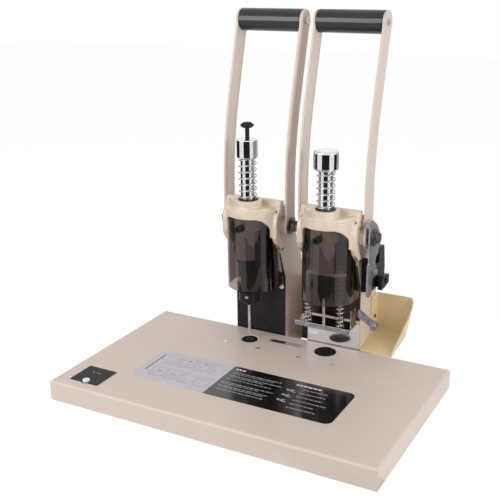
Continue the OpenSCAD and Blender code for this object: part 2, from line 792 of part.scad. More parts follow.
// the guard's rear edge follows the casting's rail and the column's front
guard_side = [[-60, guard_z], [panel_dy - 3.9, guard_z], [panel_dy - 2.1, guard_z + 3],
              [panel_dy - 5.5, guard_z + 21], [u_y + 5.5, guard_z + 39],
              [u_y - 0.3, guard_z + 53], [u_y - 10.8, pivot_z - 19.3],
              [u_y - 15.6, pivot_z - 11], [u_y - 15.6, pivot_z + 0.5],
              [u_y - 18, pivot_z + 5], [u_y - 25, pivot_z + 12], [u_y - 30, pivot_z + 15],
              [-60, pivot_z + 15]];
module guard() {
  color([0.25, 0.18, 0.16, 0.6]) difference() {
    intersection() {
      translate([0, 0, guard_z]) linear_extrude(guard_h)
        difference() {
          u_plan(guard_r, panel_dy);
          u_plan(guard_r - guard_t, column_dy + 10);
        }
      side_plate(-60, 120) polygon(guard_side);
    }
    along_y([0, -60, guard_screw_z], 2.5, 50);
  }
}
module drill_guard() { head(LEFT) guard(); }
module rivet_guard() { head(RIGHT) guard(); }

// black thumb screws at the guards' front
guard_knob_d = 9;
guard_knob_l = 8.5;
module guard_screws() {
  front = u_y - guard_r;
  color("black") for (side = [LEFT, RIGHT]) head(side) difference() {
    union() {
      along_y([0, front - guard_knob_l, guard_screw_z], guard_knob_d / 2, guard_knob_l);
      along_y([0, front - guard_knob_l, guard_screw_z], 2.5, guard_knob_l + 3.5);
    }
    along_y([0, front - guard_knob_l - 1, guard_screw_z], 2.6, 4);
  }
}

// ---------------------------------------------------------------- levers

// an arm's outline in (y, z) round its pivot, reaching back at its top
module arm_outline() {
  bend_at = [arm_bend_r, arm_straight];
  circle(arm_foot_r);
  translate([-arm_w / 2, 0]) square([arm_w, arm_straight + 0.01]);
  intersection() {
    translate(bend_at) difference() {
      circle(arm_bend_r + arm_w / 2, $fn = 360);
      circle(arm_bend_r - arm_w / 2, $fn = 360);
    }
    polygon([bend_at, bend_at - [2 * arm_bend_r, 0],
             bend_at - 2 * arm_bend_r * [cos(arm_bend), -sin(arm_bend)]]);
  }
  translate([grip_back, grip_up]) {
    circle(arm_top_r);
    rotate(-arm_bend) translate([-arm_w / 2, -arm_upper]) square([arm_w, arm_upper]);
  }
}

module lever_arms(side) {
  color("linen") head(side) for (s = [-1, 1]) difference() {
    translate([0, pivot_dy, pivot_z]) side_plate(s > 0 ? arm_in : -arm_out, arm_t)
      arm_outline();
    along_x([-60, pivot_dy, pivot_z], bolt_hole_r, 120);
    along_x([-60, pivot_dy + grip_back, pivot_z + grip_up], grip_screw_r, 120);
  }
}
module drill_lever_arms() { lever_arms(LEFT); }
module rivet_lever_arms() { lever_arms(RIGHT); }

bolt_hole_r = 4;
grip_screw_r = 2.5;
module grip(side) {
  color("black") head(side) difference() {
    along_x([-arm_in, pivot_dy + grip_back, pivot_z + grip_up], grip_d / 2, arm_gap);
    along_x([-60, pivot_dy + grip_back, pivot_z + grip_up], grip_rod_d / 2, 120);
  }
}
module drill_grip() { grip(LEFT); }
module rivet_grip() { grip(RIGHT); }

// rod through the grip with a screw head outside each arm
module grip_rod(side) {
  at = [0, pivot_dy + grip_back, pivot_z + grip_up];
  color("silver") head(side) difference() {
    union() {
      along_x(at + [-arm_in, 0, 0], grip_rod_d / 2, arm_gap);
      along_x(at + [-arm_out - 1, 0, 0], grip_screw_r, 2 * arm_out + 2);
      for (x = [-arm_out - 2.4, arm_out]) along_x(at + [x, 0, 0], 4.2, 2.4);
    }
    for (s = [-1, 1], a = [0, 90]) translate(at + [s * (arm_out + 2.4), 0, 0])
      rotate([a, 0, 0]) cube([2, 4.6, 1], center = true);
  }
}
module drill_grip_rod() { grip_rod(LEFT); }
module rivet_grip_rod() { grip_rod(RIGHT); }

// one tooth of the sector, pointing along +x of the flat drawing
tooth_top = 0.8 * tooth_module;
tooth_root = 1.1 * tooth_module;
pitch = PI * tooth_module;
backlash = 0.2;
module sector_tooth() {
  half = pitch / 4 - backlash;
  polygon([[pivot_r - tooth_root - 1, -half - 0.45], [pivot_r - tooth_root, -half - 0.45],
           [pivot_r, -half], [pivot_r + tooth_top, -half + 0.5],
           [pivot_r + tooth_top, half - 0.5], [pivot_r, half],
           [pivot_r - tooth_root, half + 0.45], [pivot_r - tooth_root - 1, half + 0.45]]);
}

// shaft with the toothed sector that drives the quill's rack
module lever_shaft(side, travel) {
  step = 360 / wheel_teeth;
  last = ceil((travel + 12) / step);
  color("silver") head(side) translate([0, pivot_dy, pivot_z]) difference() {
    union() {
      along_x([-arm_in, 0, 0], shaft_d / 2, arm_gap);
      along_x([-8, 0, 0], shaft_d / 2 + 4, 16);
      side_plate(-5, 10) {
        for (k = [-1 : last]) rotate(180 - k * step) sector_tooth();
        intersection() {
          circle(pivot_r - tooth_root);
          polygon([[0, 0], 40 * [-cos(1.6 * step), -sin(1.6 * step)], [-45, 0],
                   50 * [-cos(45), sin(45)],
                   40 * [-cos((last + 0.6) * step), sin((last + 0.6) * step)]]);
        }
      }
    }
    for (x = [-arm_in - 1, arm_in - 14]) along_x([x, 0, 0], bolt_hole_r, 15);
  }
}
module drill_lever_shaft() { lever_shaft(LEFT, drill_travel); }
module rivet_lever_shaft() { lever_shaft(RIGHT, rivet_travel); }

// hexagon bolts with washers; the one beside the cutter has a spacer under its plate
washer_t = 1.5;
hex_af = 13;
spacer_t = 4.5;
module pivot_bolt(x, spacer) {
  along_x([arm_in - 12, 0, 0], bolt_hole_r, x - arm_in + 14);
  along_x([x, 0, 0], 11, washer_t);
  along_x([x + washer_t, 0, 0], 7.6, 0.6);
  translate([x + washer_t + 0.6, 0, 0]) rotate([0, 90, 0])
    cylinder(d = hex_af / cos(30), h = 5.2, $fn = 6);
  if (spacer > 0) along_x([arm_out, 0, 0], 9, spacer);
}
module pivot_bolts(side) {
  color("gray") head(side) translate([0, pivot_dy, pivot_z]) {
    mirror([1, 0, 0]) pivot_bolt(arm_out, 0);
    if (side == LEFT) pivot_bolt(arm_out, 0);
    else pivot_bolt(arm_out + spacer_t + plate_t, spacer_t);
  }
}
module drill_pivot_bolts() { pivot_bolts(LEFT); }
module rivet_pivot_bolts() { pivot_bolts(RIGHT); }

// ---------------------------------------------------------------- quills

// gaps cut across the back of a quill, each as wide as a rack's tooth space
module rack_cut(feed) {
  low = -1;
  high = ceil(feed / pitch) + 2;
  tip = rack_offset + tooth_top;
  root = rack_offset - tooth_root;
  half = pitch / 4;
  translate([-10, tip, pivot_z - 1.5 * pitch]) cube([20, 10, (high + 2) * pitch]);
  side_plate(-10, 20) for (k = [low : high])
    translate([0, pivot_z + k * pitch])
      polygon([[root, -half + 0.55], [tip + 1, -half - 0.9], [tip + 1, half + 0.9],
               [root, half - 0.55]]);
}

module quill(z0, z1, feed) {
  color("silver") difference() {
    upright(quill_d / 2, z0, z1);
    upright(quill_bore / 2, 0, past);
    rack_cut(feed);
  }
}

motor_top = sleeve_z - 0.5;
quill_in_cap = cap_h - 7;
module drill_quill() {
  head(LEFT) quill(motor_top, drill_cap_z + quill_in_cap, drill_feed);
}

// a chromed cap with rounded rims, its lower face on the spring
module cap_body(d, z, rim) {
  rotate_extrude() union() {
    translate([0, z]) square([d / 2 - rim, cap_h]);
    translate([0, z + rim]) square([d / 2, cap_h - 2 * rim]);
    for (h = [rim, cap_h - rim]) translate([d / 2 - rim, z + h]) circle(rim);
  }
}

stem_clear = 0.08;
module drill_cap() {
  color("silver") head(LEFT) difference() {
    cap_body(drill_cap_d, drill_cap_z, 1.2);
    upright(quill_d / 2, 0, drill_cap_z + quill_in_cap);
    upright(stem_d / 2 + stem_clear, 0, past);
  }
}

module return_spring(h) {
  color("silver") translate([0, 0, seat_z])
    coil_spring((return_d - return_wire) / 2, return_wire, h, return_turns);
}
module drill_return_spring() { head(LEFT) return_spring(drill_spring_h); }
module rivet_return_spring() { head(RIGHT) return_spring(rivet_spring_h); }

spindle_d = 6;
motor_z = motor_top - motor_len;
module spindle_motor() {
  color("black") head(LEFT) difference() {
    union() {
      upright(motor_d / 2, motor_z, motor_top);
      upright(quill_bore / 2, motor_top, motor_top + 6);
    }
    upright(spindle_d / 2 + run_clear, 0, past);
  }
}

// chuck: a collar and a nose, with the hollow spindle that turns in the motor
chuck_top = motor_z - 1;
nose_h = 5;
collar_h = 14.5;
chuck_z = chuck_top - collar_h - nose_h;
spindle_top = motor_z + 28;
module drill_chuck() {
  color("black") head(LEFT) difference() {
    union() {
      upright(chuck_d / 2 - 1, chuck_z + nose_h, chuck_top);
      upright(chuck_d / 2, chuck_z + nose_h + 1, chuck_top - 1);
      translate([0, 0, chuck_z]) cylinder(d1 = 9, d2 = 15, h = nose_h);
      upright(spindle_d / 2, chuck_top, spindle_top);
    }
    upright(bit_bore / 2, 0, past);
    upright(bit_d / 2, 0, chuck_top - 4);
    chuck_screw_place() along_y([0, -chuck_d, 0], 2.1, chuck_d - bit_d / 2 - 0.1);
  }
}

chuck_screw_angle = 14;
module chuck_screw_place() {
  translate([0, 0, chuck_z + nose_h + 0.62 * collar_h]) rotate(chuck_screw_angle) children();
}

module chuck_screw() {
  color("white") head(LEFT) chuck_screw_place() difference() {
    along_y([0, -chuck_d / 2 - 0.2, 0], 2.1, chuck_d / 2 - bit_d / 2);
    along_y([0, -chuck_d / 2 - 1, 0], 1, 3);
  }
}

module drill_bit() {
  color("silver") head(LEFT) difference() {
    upright(bit_d / 2, base_h + tip_clear, chuck_top - 4);
    upright(bit_bore / 2, 0, past);
  }
}

// push rod with a mushroom knob, which clears the paper plugs out of the bit
wire_d = 1.8;
knob_h = 6.4;
stem_shown = ejector_travel + 0.7;
module ejector() {
  cap_top = drill_cap_z + cap_h;
  color("black") head(LEFT) {
    upright(stem_d / 2, cap_top - 30, cap_top + stem_shown);
    upright(wire_d / 2, base_h + tip_clear + ejector_travel + 1, cap_top - 30);
    translate([0, 0, cap_top + stem_shown]) {
      cylinder(d1 = knob_d - 5, d2 = knob_d, h = 2);
      translate([0, 0, 2]) cylinder(d = knob_d, h = 1.6);
      translate([0, 0, 3.6]) cylinder(d1 = knob_d, d2 = knob_d - 7, h = knob_h - 3.6);
    }
  }
}

// ---------------------------------------------------------------- rivet head

carrier_t = 4;
carrier_z = sleeve_z - 0.3 - carrier_t;
quill_stub = 4;
rivet_quill_z = carrier_z - quill_stub;
module rivet_quill() {
  head(RIGHT) {
    quill(rivet_quill_z, rivet_cap_z + quill_in_cap, rivet_feed);
    // oval carrier for the presser's rods
    color("silver") difference() {
      union() {
        translate([0, 0, carrier_z]) linear_extrude(carrier_t) intersection() {
          round_rect(rod_gap + 14, 20, 6);
          u_plan(guard_r - guard_t - 0.8, 40);
        }
      }
      upright(quill_d / 2 - 0.5, 0, past);
      for (s = [-1, 1]) translate([s * rod_gap / 2, 0, 0])
        upright(rod_d / 2 + run_clear, 0, past);
    }
  }
}

module rivet_cap() {
  color("silver") head(RIGHT) difference() {
    cap_body(rivet_cap_d, rivet_cap_z, 2.5);
    upright(quill_d / 2, 0, rivet_cap_z + quill_in_cap);
    upright(2.6, rivet_cap_z + cap_h - 0.8, past);
  }
}

die_tip = base_h + die_clear;
module rivet_die() {
  color("black") head(RIGHT) difference() {
    union() {
      upright(die_d / 2, die_tip + 6, carrier_z);
      translate([0, 0, die_tip]) cylinder(d1 = 12, d2 = die_d, h = 6);
    }
    upright(quill_d / 2, rivet_quill_z, past);
    upright(pin_d / 2, 0, past);
  }
}

presser_z = base_h + presser_clear;
presser_t = 2;
presser_h = 6.4;
presser_top = presser_z + presser_h;
module rivet_pin() {
  color("silver") head(RIGHT) upright(pin_d / 2, presser_z + 3.5, rivet_quill_z - 0.5);
}

// presser: lipped plate with two rods, a bracket and the gauge arm at its right end
bracket_x = guard_r + 0.7;
gauge_y = 11;
gauge_z = presser_z + 24.5;
gauge_slope = 30;
gauge_len = 31;
module presser_frame() {
  color("silver") head(RIGHT) {
    difference() {
      union() {
        translate([-presser_w / 2, -7, presser_top - presser_t])
          cube([presser_w / 2 + bracket_x + presser_t, 25, presser_t]);
        translate([-presser_w / 2, -7, presser_z]) cube([presser_w, presser_t, presser_h]);
        translate([bracket_x, 0, presser_top - presser_t])
          cube([presser_t, gauge_y + 3, gauge_z + 4.5 - presser_top + presser_t]);
      }
      upright(pin_d / 2 + 0.7, 0, past);
    }
    for (s = [-1, 1]) translate([s * rod_gap / 2, 0, 0]) {
      upright(rod_d / 2, presser_top - 0.5, carrier_z + carrier_t + 3);
      upright(rod_d / 2 + 1.5, carrier_z + carrier_t, carrier_z + carrier_t + 3.4);
    }
    // gauge arm, its clamp screw and its end knob
    translate([bracket_x + presser_t - 0.5 + 5 * sin(gauge_slope), gauge_y, gauge_z])
      rotate([0, gauge_slope, 0]) {
        translate([0, 0, -5]) cube([gauge_len, 2, 10]);
        along_y([gauge_len * 0.5, -2.2, 0], 3.4, 2.5);
        along_y([gauge_len - 3, -7, 0], 4, 9);
      }
  }
}

press_wire = 1.2;
press_spring_d = 11;
press_turns = 13;
module presser_springs() {
  color("silver") head(RIGHT) for (s = [-1, 1])
    translate([s * rod_gap / 2, 0, presser_top])
      coil_spring((press_spring_d - press_wire) / 2, press_wire,
                  carrier_z - presser_top, press_turns);
}

// ---------------------------------------------------------------- tube cutter

plate_x = arm_out + spacer_t;
cutter_in = plate_x - 1.8;
cutter_out = plate_x + plate_t + 0.8;
cheek_t = 5.4;
cutter_d = 50;
tube_at = [pivot_dy + 30, pivot_z - 65];
tube_hole_d = 8;
tail_r = 77;
tail_tip = 9.5 - tail_r;
// black body: an inner part on the column and a cheek outside the plate, joined behind
// the arc that the plate's tail sweeps
module cutter_body() {
  low = guard_z + 8;
  y0 = column_dy - 3;
  rear = column_dy + cutter_d;
  cheek_rear = rear - 10;
  cheek = [[y0 + 16, low], [cheek_rear - 16, low], [cheek_rear, low + 3], [cheek_rear, low + 14],
           [y0 + 22, low + 17], [y0 + 16, low + 13]];
  color("black") head(RIGHT) difference() {
    union() {
      side_plate(column_r, cutter_in - column_r)
        polygon([[y0, low], [y0, guard_z + 50], [y0 + 5, guard_z + 52],
                 [y0 + 20, guard_z + 40], [rear - 22, guard_z + 40], [rear - 22, pivot_z - 22],
                 [rear - 4, pivot_z - 24], [rear, guard_z + 30], [rear, low + 8],
                 [rear - 8, low]]);
      side_plate(cutter_out, cheek_t) polygon(cheek);
      side_plate(column_r, cutter_out + 1 - column_r) difference() {
        polygon(cheek);
        translate([pivot_dy, pivot_z]) circle(tail_r + 1.5);
      }
    }
    along_x([column_r - 1, tube_at[0], tube_at[1]], tube_hole_d / 2, 40);
    for (p = cutter_screws) along_x([column_r - 3, p[0], p[1]], 1.5, 9);
  }
}

// chrome plate keyed to the lever's right arm, with its blade and blade screw
tab_front = -arm_w / 2 - seat - plate_t;
module cutter_plate() {
  color("silver") head(RIGHT) translate([0, pivot_dy, pivot_z]) {
    difference() {
      union() {
        side_plate(plate_x, plate_t) {
          polygon([[-14, 24], [-5, 24], [12, 13], [20, 2], [21, -8], [19.5, -18], [16, -25],
                   [9, -28], [7.5, -34], [12.5, -41], [11.5, -53], [-1, -54], [-1, tail_tip],
                   [-17, tail_tip], [-17, -31], [-14, -31]]);
          translate([-9, tail_tip]) circle(8);
        }
        // tab bent round the arm's front edge
        translate([arm_in - 1, tab_front, 15])
          cube([plate_x + plate_t - arm_in + 1, plate_t, 9]);
        side_plate(plate_x, plate_t)
          polygon([[tab_front, 15], [-8, 13], [-8, 24], [tab_front, 24]]);
      }
      along_x([0, 0, 0], bolt_hole_r, 80);
    }
    // blade on the plate's inner side, and the head of its screw outside
    side_plate(plate_x - 1.4, 1.4)
      polygon([[-14, -45], [9, -45], [9, -51], [-3, -53], [-3, tail_tip - 2],
               [-6, tail_tip - 7], [-12, tail_tip - 7], [-14, tail_tip - 2]]);
    along_x([plate_x + plate_t, 8, -47], 3.4, 2.2);
  }
}

// ---------------------------------------------------------------- waste tray

tray_floor = base_h - 2;
tray_h = 63;
tray_rise = 13;
tray_foot_w = 43;
tray_flare = 12;
tray_r = 12;
tray_y0 = head_reach + 1.5;
tray_y1 = head_reach + tray_depth;
tray_ear = column_dy + 35;
// outline of the scoop in plan at its foot (flare 0) or at its rim (flare 1)
module tray_plan(flare, t) {
  w = tray_foot_w + tray_flare * flare;
  y = tray_y0 - 20;
  translate([column_r + t, y]) square([w - tray_r - t, tray_y1 - y - t]);
  translate([column_r + t, y]) square([w - 2 * t, tray_y1 - y - tray_r]);
  translate([column_r + w - tray_r, tray_y1 - tray_r]) circle(tray_r - t, $fn = 48);
}

module tray_block(t) {
  hull() {
    translate([0, 0, tray_floor]) linear_extrude(0.1) tray_plan(0, t);
    translate([0, 0, tray_floor + tray_h + t]) linear_extrude(0.1) tray_plan(1, t);
  }
}

// beige scoop, open to the front, whose floor and right wall rise to the back
module waste_tray() {
  rim = tray_floor + tray_h;
  color("burlywood") head(RIGHT) difference() {
    intersection() {
      tray_block(0);
      union() {
        side_plate(column_r, 80)
          polygon([[tray_y0, tray_floor], [tray_y0, tray_floor + 4], [tray_y1 - 16, rim - 23],
                   [tray_y1 - 8, rim - 7], [tray_y1 - 4, rim - 2], [tray_y1 - 2, rim],
                   [tray_y1 + 1, rim], [tray_y1 + 1, tray_floor + tray_rise]]);
        side_plate(column_r, tray_t)
          polygon([[tray_ear, tray_floor + 4], [tray_ear, rim], [tray_y1 + 1, rim],
                   [tray_y1 + 1, tray_floor + tray_rise]]);
      }
    }
    intersection() {
      tray_block(tray_t);
      side_plate(column_r, 80)
        polygon([[tray_y0 - 1, tray_floor + tray_t], [tray_y0 - 1, rim + 9],
                 [tray_y1, rim + 9], [tray_y1, tray_floor + tray_rise + tray_t]]);
    }
    // the side next to the column is only an ear behind
    translate([column_r - 1, tray_y0 - 1, tray_floor + tray_rise + tray_t])
      cube([tray_t + 1.1, tray_ear - tray_y0 + 1, tray_h]);
    intersection() {
      translate([column_r - 1, tray_y0 - 1, 0]) cube([tray_t + 1.1, tray_ear - tray_y0 + 1, rim]);
      side_plate(column_r - 1, 80)
        polygon([[tray_y0 - 1, tray_floor + tray_t], [tray_y0 - 1, rim], [tray_y1, rim],
                 [tray_y1, tray_floor + tray_rise + tray_t]]);
    }
    for (p = tray_screws) along_x([column_r - 3, p[0], p[1]], 1.5, 9);
  }
}

// ---------------------------------------------------------------- the nodes

base_pan();
base_bottom_plate();
rubber_feet();
base_screws();
bracket_screws();
die_brackets();
instruction_label_light();
instruction_label_dark();
arrow_label();
control_plate();
start_button();
drill_pad();
drill_pad_sleeve();
rivet_anvil();
power_inlet();
power_supply();
left_column();
right_column();
left_front_panel();
right_front_plate();
panel_screws();
column_bolts();
side_screws();
lever_bushes();
drill_casting();
rivet_casting();
drill_guide_sleeve();
rivet_guide_sleeve();
quill_bushings();
drill_guard();
rivet_guard();
guard_screws();
drill_lever_arms();
drill_grip();
drill_grip_rod();
drill_lever_shaft();
drill_pivot_bolts();
rivet_lever_arms();
rivet_grip();
rivet_grip_rod();
rivet_lever_shaft();
rivet_pivot_bolts();
drill_quill();
drill_cap();
drill_return_spring();
spindle_motor();
drill_chuck();
chuck_screw();
drill_bit();
ejector();
rivet_quill();
rivet_cap();
rivet_return_spring();
rivet_die();
rivet_pin();
presser_frame();
presser_springs();
cutter_body();
cutter_plate();
waste_tray();
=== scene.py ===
"""The document riveting machine, dressed for its photograph: finishes, softened edges, cast
heads, wound springs, printed films, light and camera. Lengths are metres, in the CAD's frame."""
import json
import math
import random

import bmesh
import bpy
from mathutils import Matrix, Vector

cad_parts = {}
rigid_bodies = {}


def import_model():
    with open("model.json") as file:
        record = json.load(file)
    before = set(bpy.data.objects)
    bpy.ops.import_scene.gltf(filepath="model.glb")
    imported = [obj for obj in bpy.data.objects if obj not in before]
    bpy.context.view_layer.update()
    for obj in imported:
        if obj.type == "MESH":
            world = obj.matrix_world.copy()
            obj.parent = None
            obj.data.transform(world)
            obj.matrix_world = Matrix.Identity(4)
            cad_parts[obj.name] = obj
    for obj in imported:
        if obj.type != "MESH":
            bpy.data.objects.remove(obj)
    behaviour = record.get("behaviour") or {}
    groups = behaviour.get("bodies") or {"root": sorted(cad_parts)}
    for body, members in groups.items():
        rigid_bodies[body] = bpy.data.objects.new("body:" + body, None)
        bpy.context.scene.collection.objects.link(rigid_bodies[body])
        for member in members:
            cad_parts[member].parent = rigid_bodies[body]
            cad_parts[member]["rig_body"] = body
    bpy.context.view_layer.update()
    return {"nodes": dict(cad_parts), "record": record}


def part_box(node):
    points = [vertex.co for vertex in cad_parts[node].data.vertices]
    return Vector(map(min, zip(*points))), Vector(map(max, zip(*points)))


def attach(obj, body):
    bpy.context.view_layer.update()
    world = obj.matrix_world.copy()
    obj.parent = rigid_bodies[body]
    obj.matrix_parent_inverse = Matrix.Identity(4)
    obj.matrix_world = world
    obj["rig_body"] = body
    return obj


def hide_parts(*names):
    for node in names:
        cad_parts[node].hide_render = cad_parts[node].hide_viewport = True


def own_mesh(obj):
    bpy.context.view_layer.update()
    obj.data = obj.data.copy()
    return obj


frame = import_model()

MM = 0.001
NODES = frame["nodes"]
SLOT_OF = {part["node"]: part["material_slot"] for part in frame["record"]["subparts"]}


# ---------------------------------------------------------------- places taken from the frame

def middle(node):
    """The centre of a CAD node's box."""
    low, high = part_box(node)
    return (low + high) / 2


def top_of(node):
    """The height of a CAD node's top."""
    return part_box(node)[1].z


DRILL_AXIS = middle("drill_cap").xy
RIVET_AXIS = middle("rivet_cap").xy


# ---------------------------------------------------------------- small tools for nodes

def add_node(tree, kind, values=(), links=(), **settings):
    """One node with its settings, its inputs' values and the sockets linked to its inputs."""
    made = tree.nodes.new(kind)
    for name, value in settings.items():
        setattr(made, name, value)
    for name, value in dict(values).items():
        made.inputs[name].default_value = value
    for name, source in dict(links).items():
        tree.links.new(source, made.inputs[name])
    return made


def linear(colour):
    """An sRGB hex colour as the linear RGBA that sockets take."""
    shares = [int(colour[i:i + 2], 16) / 255 for i in (1, 3, 5)]
    return [v / 12.92 if v <= 0.04045 else ((v + 0.055) / 1.055) ** 2.4 for v in shares] + [1.0]


def new_material(name, **shader_values):
    """A material with one Principled shader; returns it with its tree, shader and coordinates."""
    made = bpy.data.materials.new(name)
    made.use_nodes = True
    tree = made.node_tree
    tree.nodes.clear()
    values = {key.replace("_", " ").title().replace("Ior", "IOR"): value
              for key, value in shader_values.items()}
    shader = add_node(tree, "ShaderNodeBsdfPrincipled", values)
    add_node(tree, "ShaderNodeOutputMaterial", links={"Surface": shader.outputs["BSDF"]})
    coords = add_node(tree, "ShaderNodeTexCoord").outputs["Object"]
    return made, tree, shader, coords


def patches(tree, coords, size, stretch=(1, 1, 1), detail=2.0):
    """Noise whose patches are about size across, drawn out by stretch along an axis."""
    place = add_node(tree, "ShaderNodeMapping", {"Scale": [1 / (size * s) for s in stretch]},
                     {"Vector": coords})
    noise = add_node(tree, "ShaderNodeTexNoise", {"Scale": 1.0, "Detail": detail},
                     {"Vector": place.outputs["Vector"]})
    return noise.outputs["Fac"]


def between(tree, source, low, high):
    """A noise's usual span turned into low to high."""
    span = {"From Min": 0.3, "From Max": 0.7, "To Min": low, "To Max": high}
    return add_node(tree, "ShaderNodeMapRange", span, {"Value": source}).outputs["Result"]


def two_colours(tree, source, first, second):
    """A colour that runs from first to second as the source runs from 0.3 to 0.7."""
    mix = add_node(tree, "ShaderNodeMix", data_type="RGBA",
                   links={"Factor": between(tree, source, 0.0, 1.0)})
    mix.inputs[6].default_value = linear(first)
    mix.inputs[7].default_value = linear(second)
    return mix.outputs[2]


def raise_surface(tree, shader, height, depth, strength=1.0, under=None):
    """Bumps of the given depth on the shader, over other bumps if there are any."""
    links = {"Height": height}
    if under:
        links["Normal"] = under
    bump = add_node(tree, "ShaderNodeBump", {"Distance": depth, "Strength": strength}, links)
    tree.links.new(bump.outputs["Normal"], shader.inputs["Normal"])
    return bump.outputs["Normal"]


# ---------------------------------------------------------------- finishes

def coated(name, light, dark, rough, peel_size, peel_depth, cloud_size=40 * MM, **shader_values):
    """Paint or plastic: slow changes of tone, a rough span, and a fine orange peel or grain."""
    made, tree, shader, coords = new_material(name, **shader_values)
    slow = patches(tree, coords, cloud_size)
    fine = patches(tree, coords, peel_size, detail=3.0)
    tree.links.new(two_colours(tree, slow, dark, light), shader.inputs["Base Color"])
    tree.links.new(between(tree, fine, *rough), shader.inputs["Roughness"])
    raise_surface(tree, shader, fine, peel_depth)
    return made


def powder_coat():
    """Sheet steel, powder coated: warm, satin, with the orange peel of baked powder."""
    return coated("powder_coat_cream", "#dacabf", "#d7c7bc", (0.34, 0.44), 0.9 * MM, 0.02 * MM,
                  specular_ior_level=0.45)


def casting_enamel():
    """Die-cast heads in thick yellowish enamel, glossier than the sheet and slightly wavy."""
    return coated("casting_enamel", "#e4d3c0", "#dac8b2", (0.24, 0.36), 1.6 * MM, 0.04 * MM,
                  cloud_size=18 * MM, coat_weight=0.25, coat_roughness=0.15)


def black_powder_coat():
    """Black coat on the drill side's front panel, chuck and cutter: satin, faintly speckled."""
    return coated("black_powder_coat", "#1d1b1d", "#151416", (0.32, 0.5), 0.5 * MM, 0.02 * MM,
                  cloud_size=12 * MM, specular_ior_level=0.25)


def inner_painted_shade():
    """Painted shade for the inside of the columns: a dull dark brown in place of the cream coat
    there.
    """
    return coated("inner_painted_shade", "#75695c", "#64594d", (0.6, 0.8), 2 * MM, 0.01 * MM,
                  specular_ior_level=0.15)


def black_moulding():
    """Injection-moulded black ABS with a fine spark-eroded grain."""
    return coated("black_abs", "#1f1d20", "#171618", (0.4, 0.55), 0.35 * MM, 0.012 * MM,
                  specular_ior_level=0.22)


def handle_sleeve():
    """Glossy black PVC sleeve pulled over the grip, smooth enough to show a light as a band."""
    made, tree, shader, coords = new_material("black_pvc_sleeve", roughness=0.2)
    streaks = patches(tree, coords, 0.9 * MM, stretch=(40, 1, 1), detail=3.0)
    tree.links.new(two_colours(tree, streaks, "#19161b", "#201c22"), shader.inputs["Base Color"])
    tree.links.new(between(tree, streaks, 0.13, 0.19), shader.inputs["Roughness"])
    raise_surface(tree, shader, streaks, 0.003 * MM)
    return made


def white_moulding():
    """White ABS button, polished tool."""
    return coated("white_abs", "#f3f1ee", "#e9e6e2", (0.2, 0.28), 0.8 * MM, 0.005 * MM)


def beige_moulding():
    """Beige ABS scoop, polished inside, a little streaky from the mould's flow."""
    return coated("beige_abs", "#e3cda4", "#dac295", (0.22, 0.34), 1.2 * MM, 0.008 * MM,
                  cloud_size=25 * MM, coat_weight=0.1)


def foot_rubber():
    """Pressed-in rubber feet: black and quite dull."""
    return coated("foot_rubber", "#2e2d2d", "#232222", (0.7, 0.85), 0.6 * MM, 0.03 * MM)


def metal(name, colour, worn, rough, grain, along=(1, 1, 1), depth=0.0, coat_tone=6 * MM):
    """Bare or plated metal: two tones, grain drawn out along an axis, and its roughness."""
    made, tree, shader, coords = new_material(name, metallic=1.0)
    lines = patches(tree, coords, grain, stretch=along, detail=3.0)
    slow = patches(tree, coords, coat_tone)
    tree.links.new(two_colours(tree, slow, worn, colour), shader.inputs["Base Color"])
    tree.links.new(between(tree, lines, *rough), shader.inputs["Roughness"])
    if depth:
        raise_surface(tree, shader, lines, depth)
    return made


def chrome():
    """Bright chromium plate on the caps and quills: a mirror with a faint polishing haze."""
    return metal("chrome_plate", "#e9e9ec", "#dededf", (0.03, 0.07), 3 * MM, depth=0.002 * MM)


def brushed_steel():
    """Milled and brushed steel of the presser, bit and pin, brushed along X."""
    return metal("brushed_steel", "#dcd8da", "#bbb6b9", (0.2, 0.36), 0.5 * MM, along=(14, 1, 1),
                 depth=0.01 * MM)


def polished_plate():
    """Ground and polished plate behind the rivet pin: a soft mirror, ground along X."""
    return metal("polished_plate", "#dcdadb", "#d0cdd0", (0.1, 0.16), 0.8 * MM, along=(20, 1, 1),
                 depth=0.002 * MM)


def zinc_plate():
    """Bright zinc on springs, screws and sleeves."""
    return metal("zinc_plate", "#d4d3d1", "#b5b3b0", (0.14, 0.26), 0.8 * MM, depth=0.004 * MM)


def presser_steel_painted_shade():
    """Milled steel of the presser, a darker copy of the brushed steel whose darkness is painted
    shade on its faces; its edges catch the light.
    """
    return metal("presser_steel_painted_shade", "#a8a3a6", "#7b7679", (0.08, 0.2), 0.5 * MM, along=(14, 1, 1),
                 depth=0.006 * MM)


def plated_plate():
    """Hard-chromed blade plate with a fine grind along Z: duller than the caps."""
    return metal("ground_chrome", "#c9c5c9", "#a5a1a5", (0.3, 0.42), 0.9 * MM, along=(1, 1, 12),
                 depth=0.004 * MM)


def matte_black():
    """Phosphated steel of the anvil and the pad: black and quite dull, so the sky leaves it."""
    return coated("black_phosphate", "#232223", "#191819", (0.6, 0.8), 0.5 * MM, 0.02 * MM,
                  cloud_size=8 * MM, specular_ior_level=0.06)


def blackened_steel():
    """Steel bolts and washers, oil-blackened, with the grey of the steel rubbed through."""
    return metal("blackened_steel", "#77726f", "#4d4947", (0.3, 0.5), 0.7 * MM, depth=0.01 * MM,
                 coat_tone=3 * MM)


def circuit_board():
    """Green board of the supply, with soldered copper showing through the mask."""
    return coated("circuit_board", "#2f6a45", "#1f4a30", (0.35, 0.5), 2.5 * MM, 0.05 * MM,
                  cloud_size=4 * MM)


SMOKE = "#9d908d"


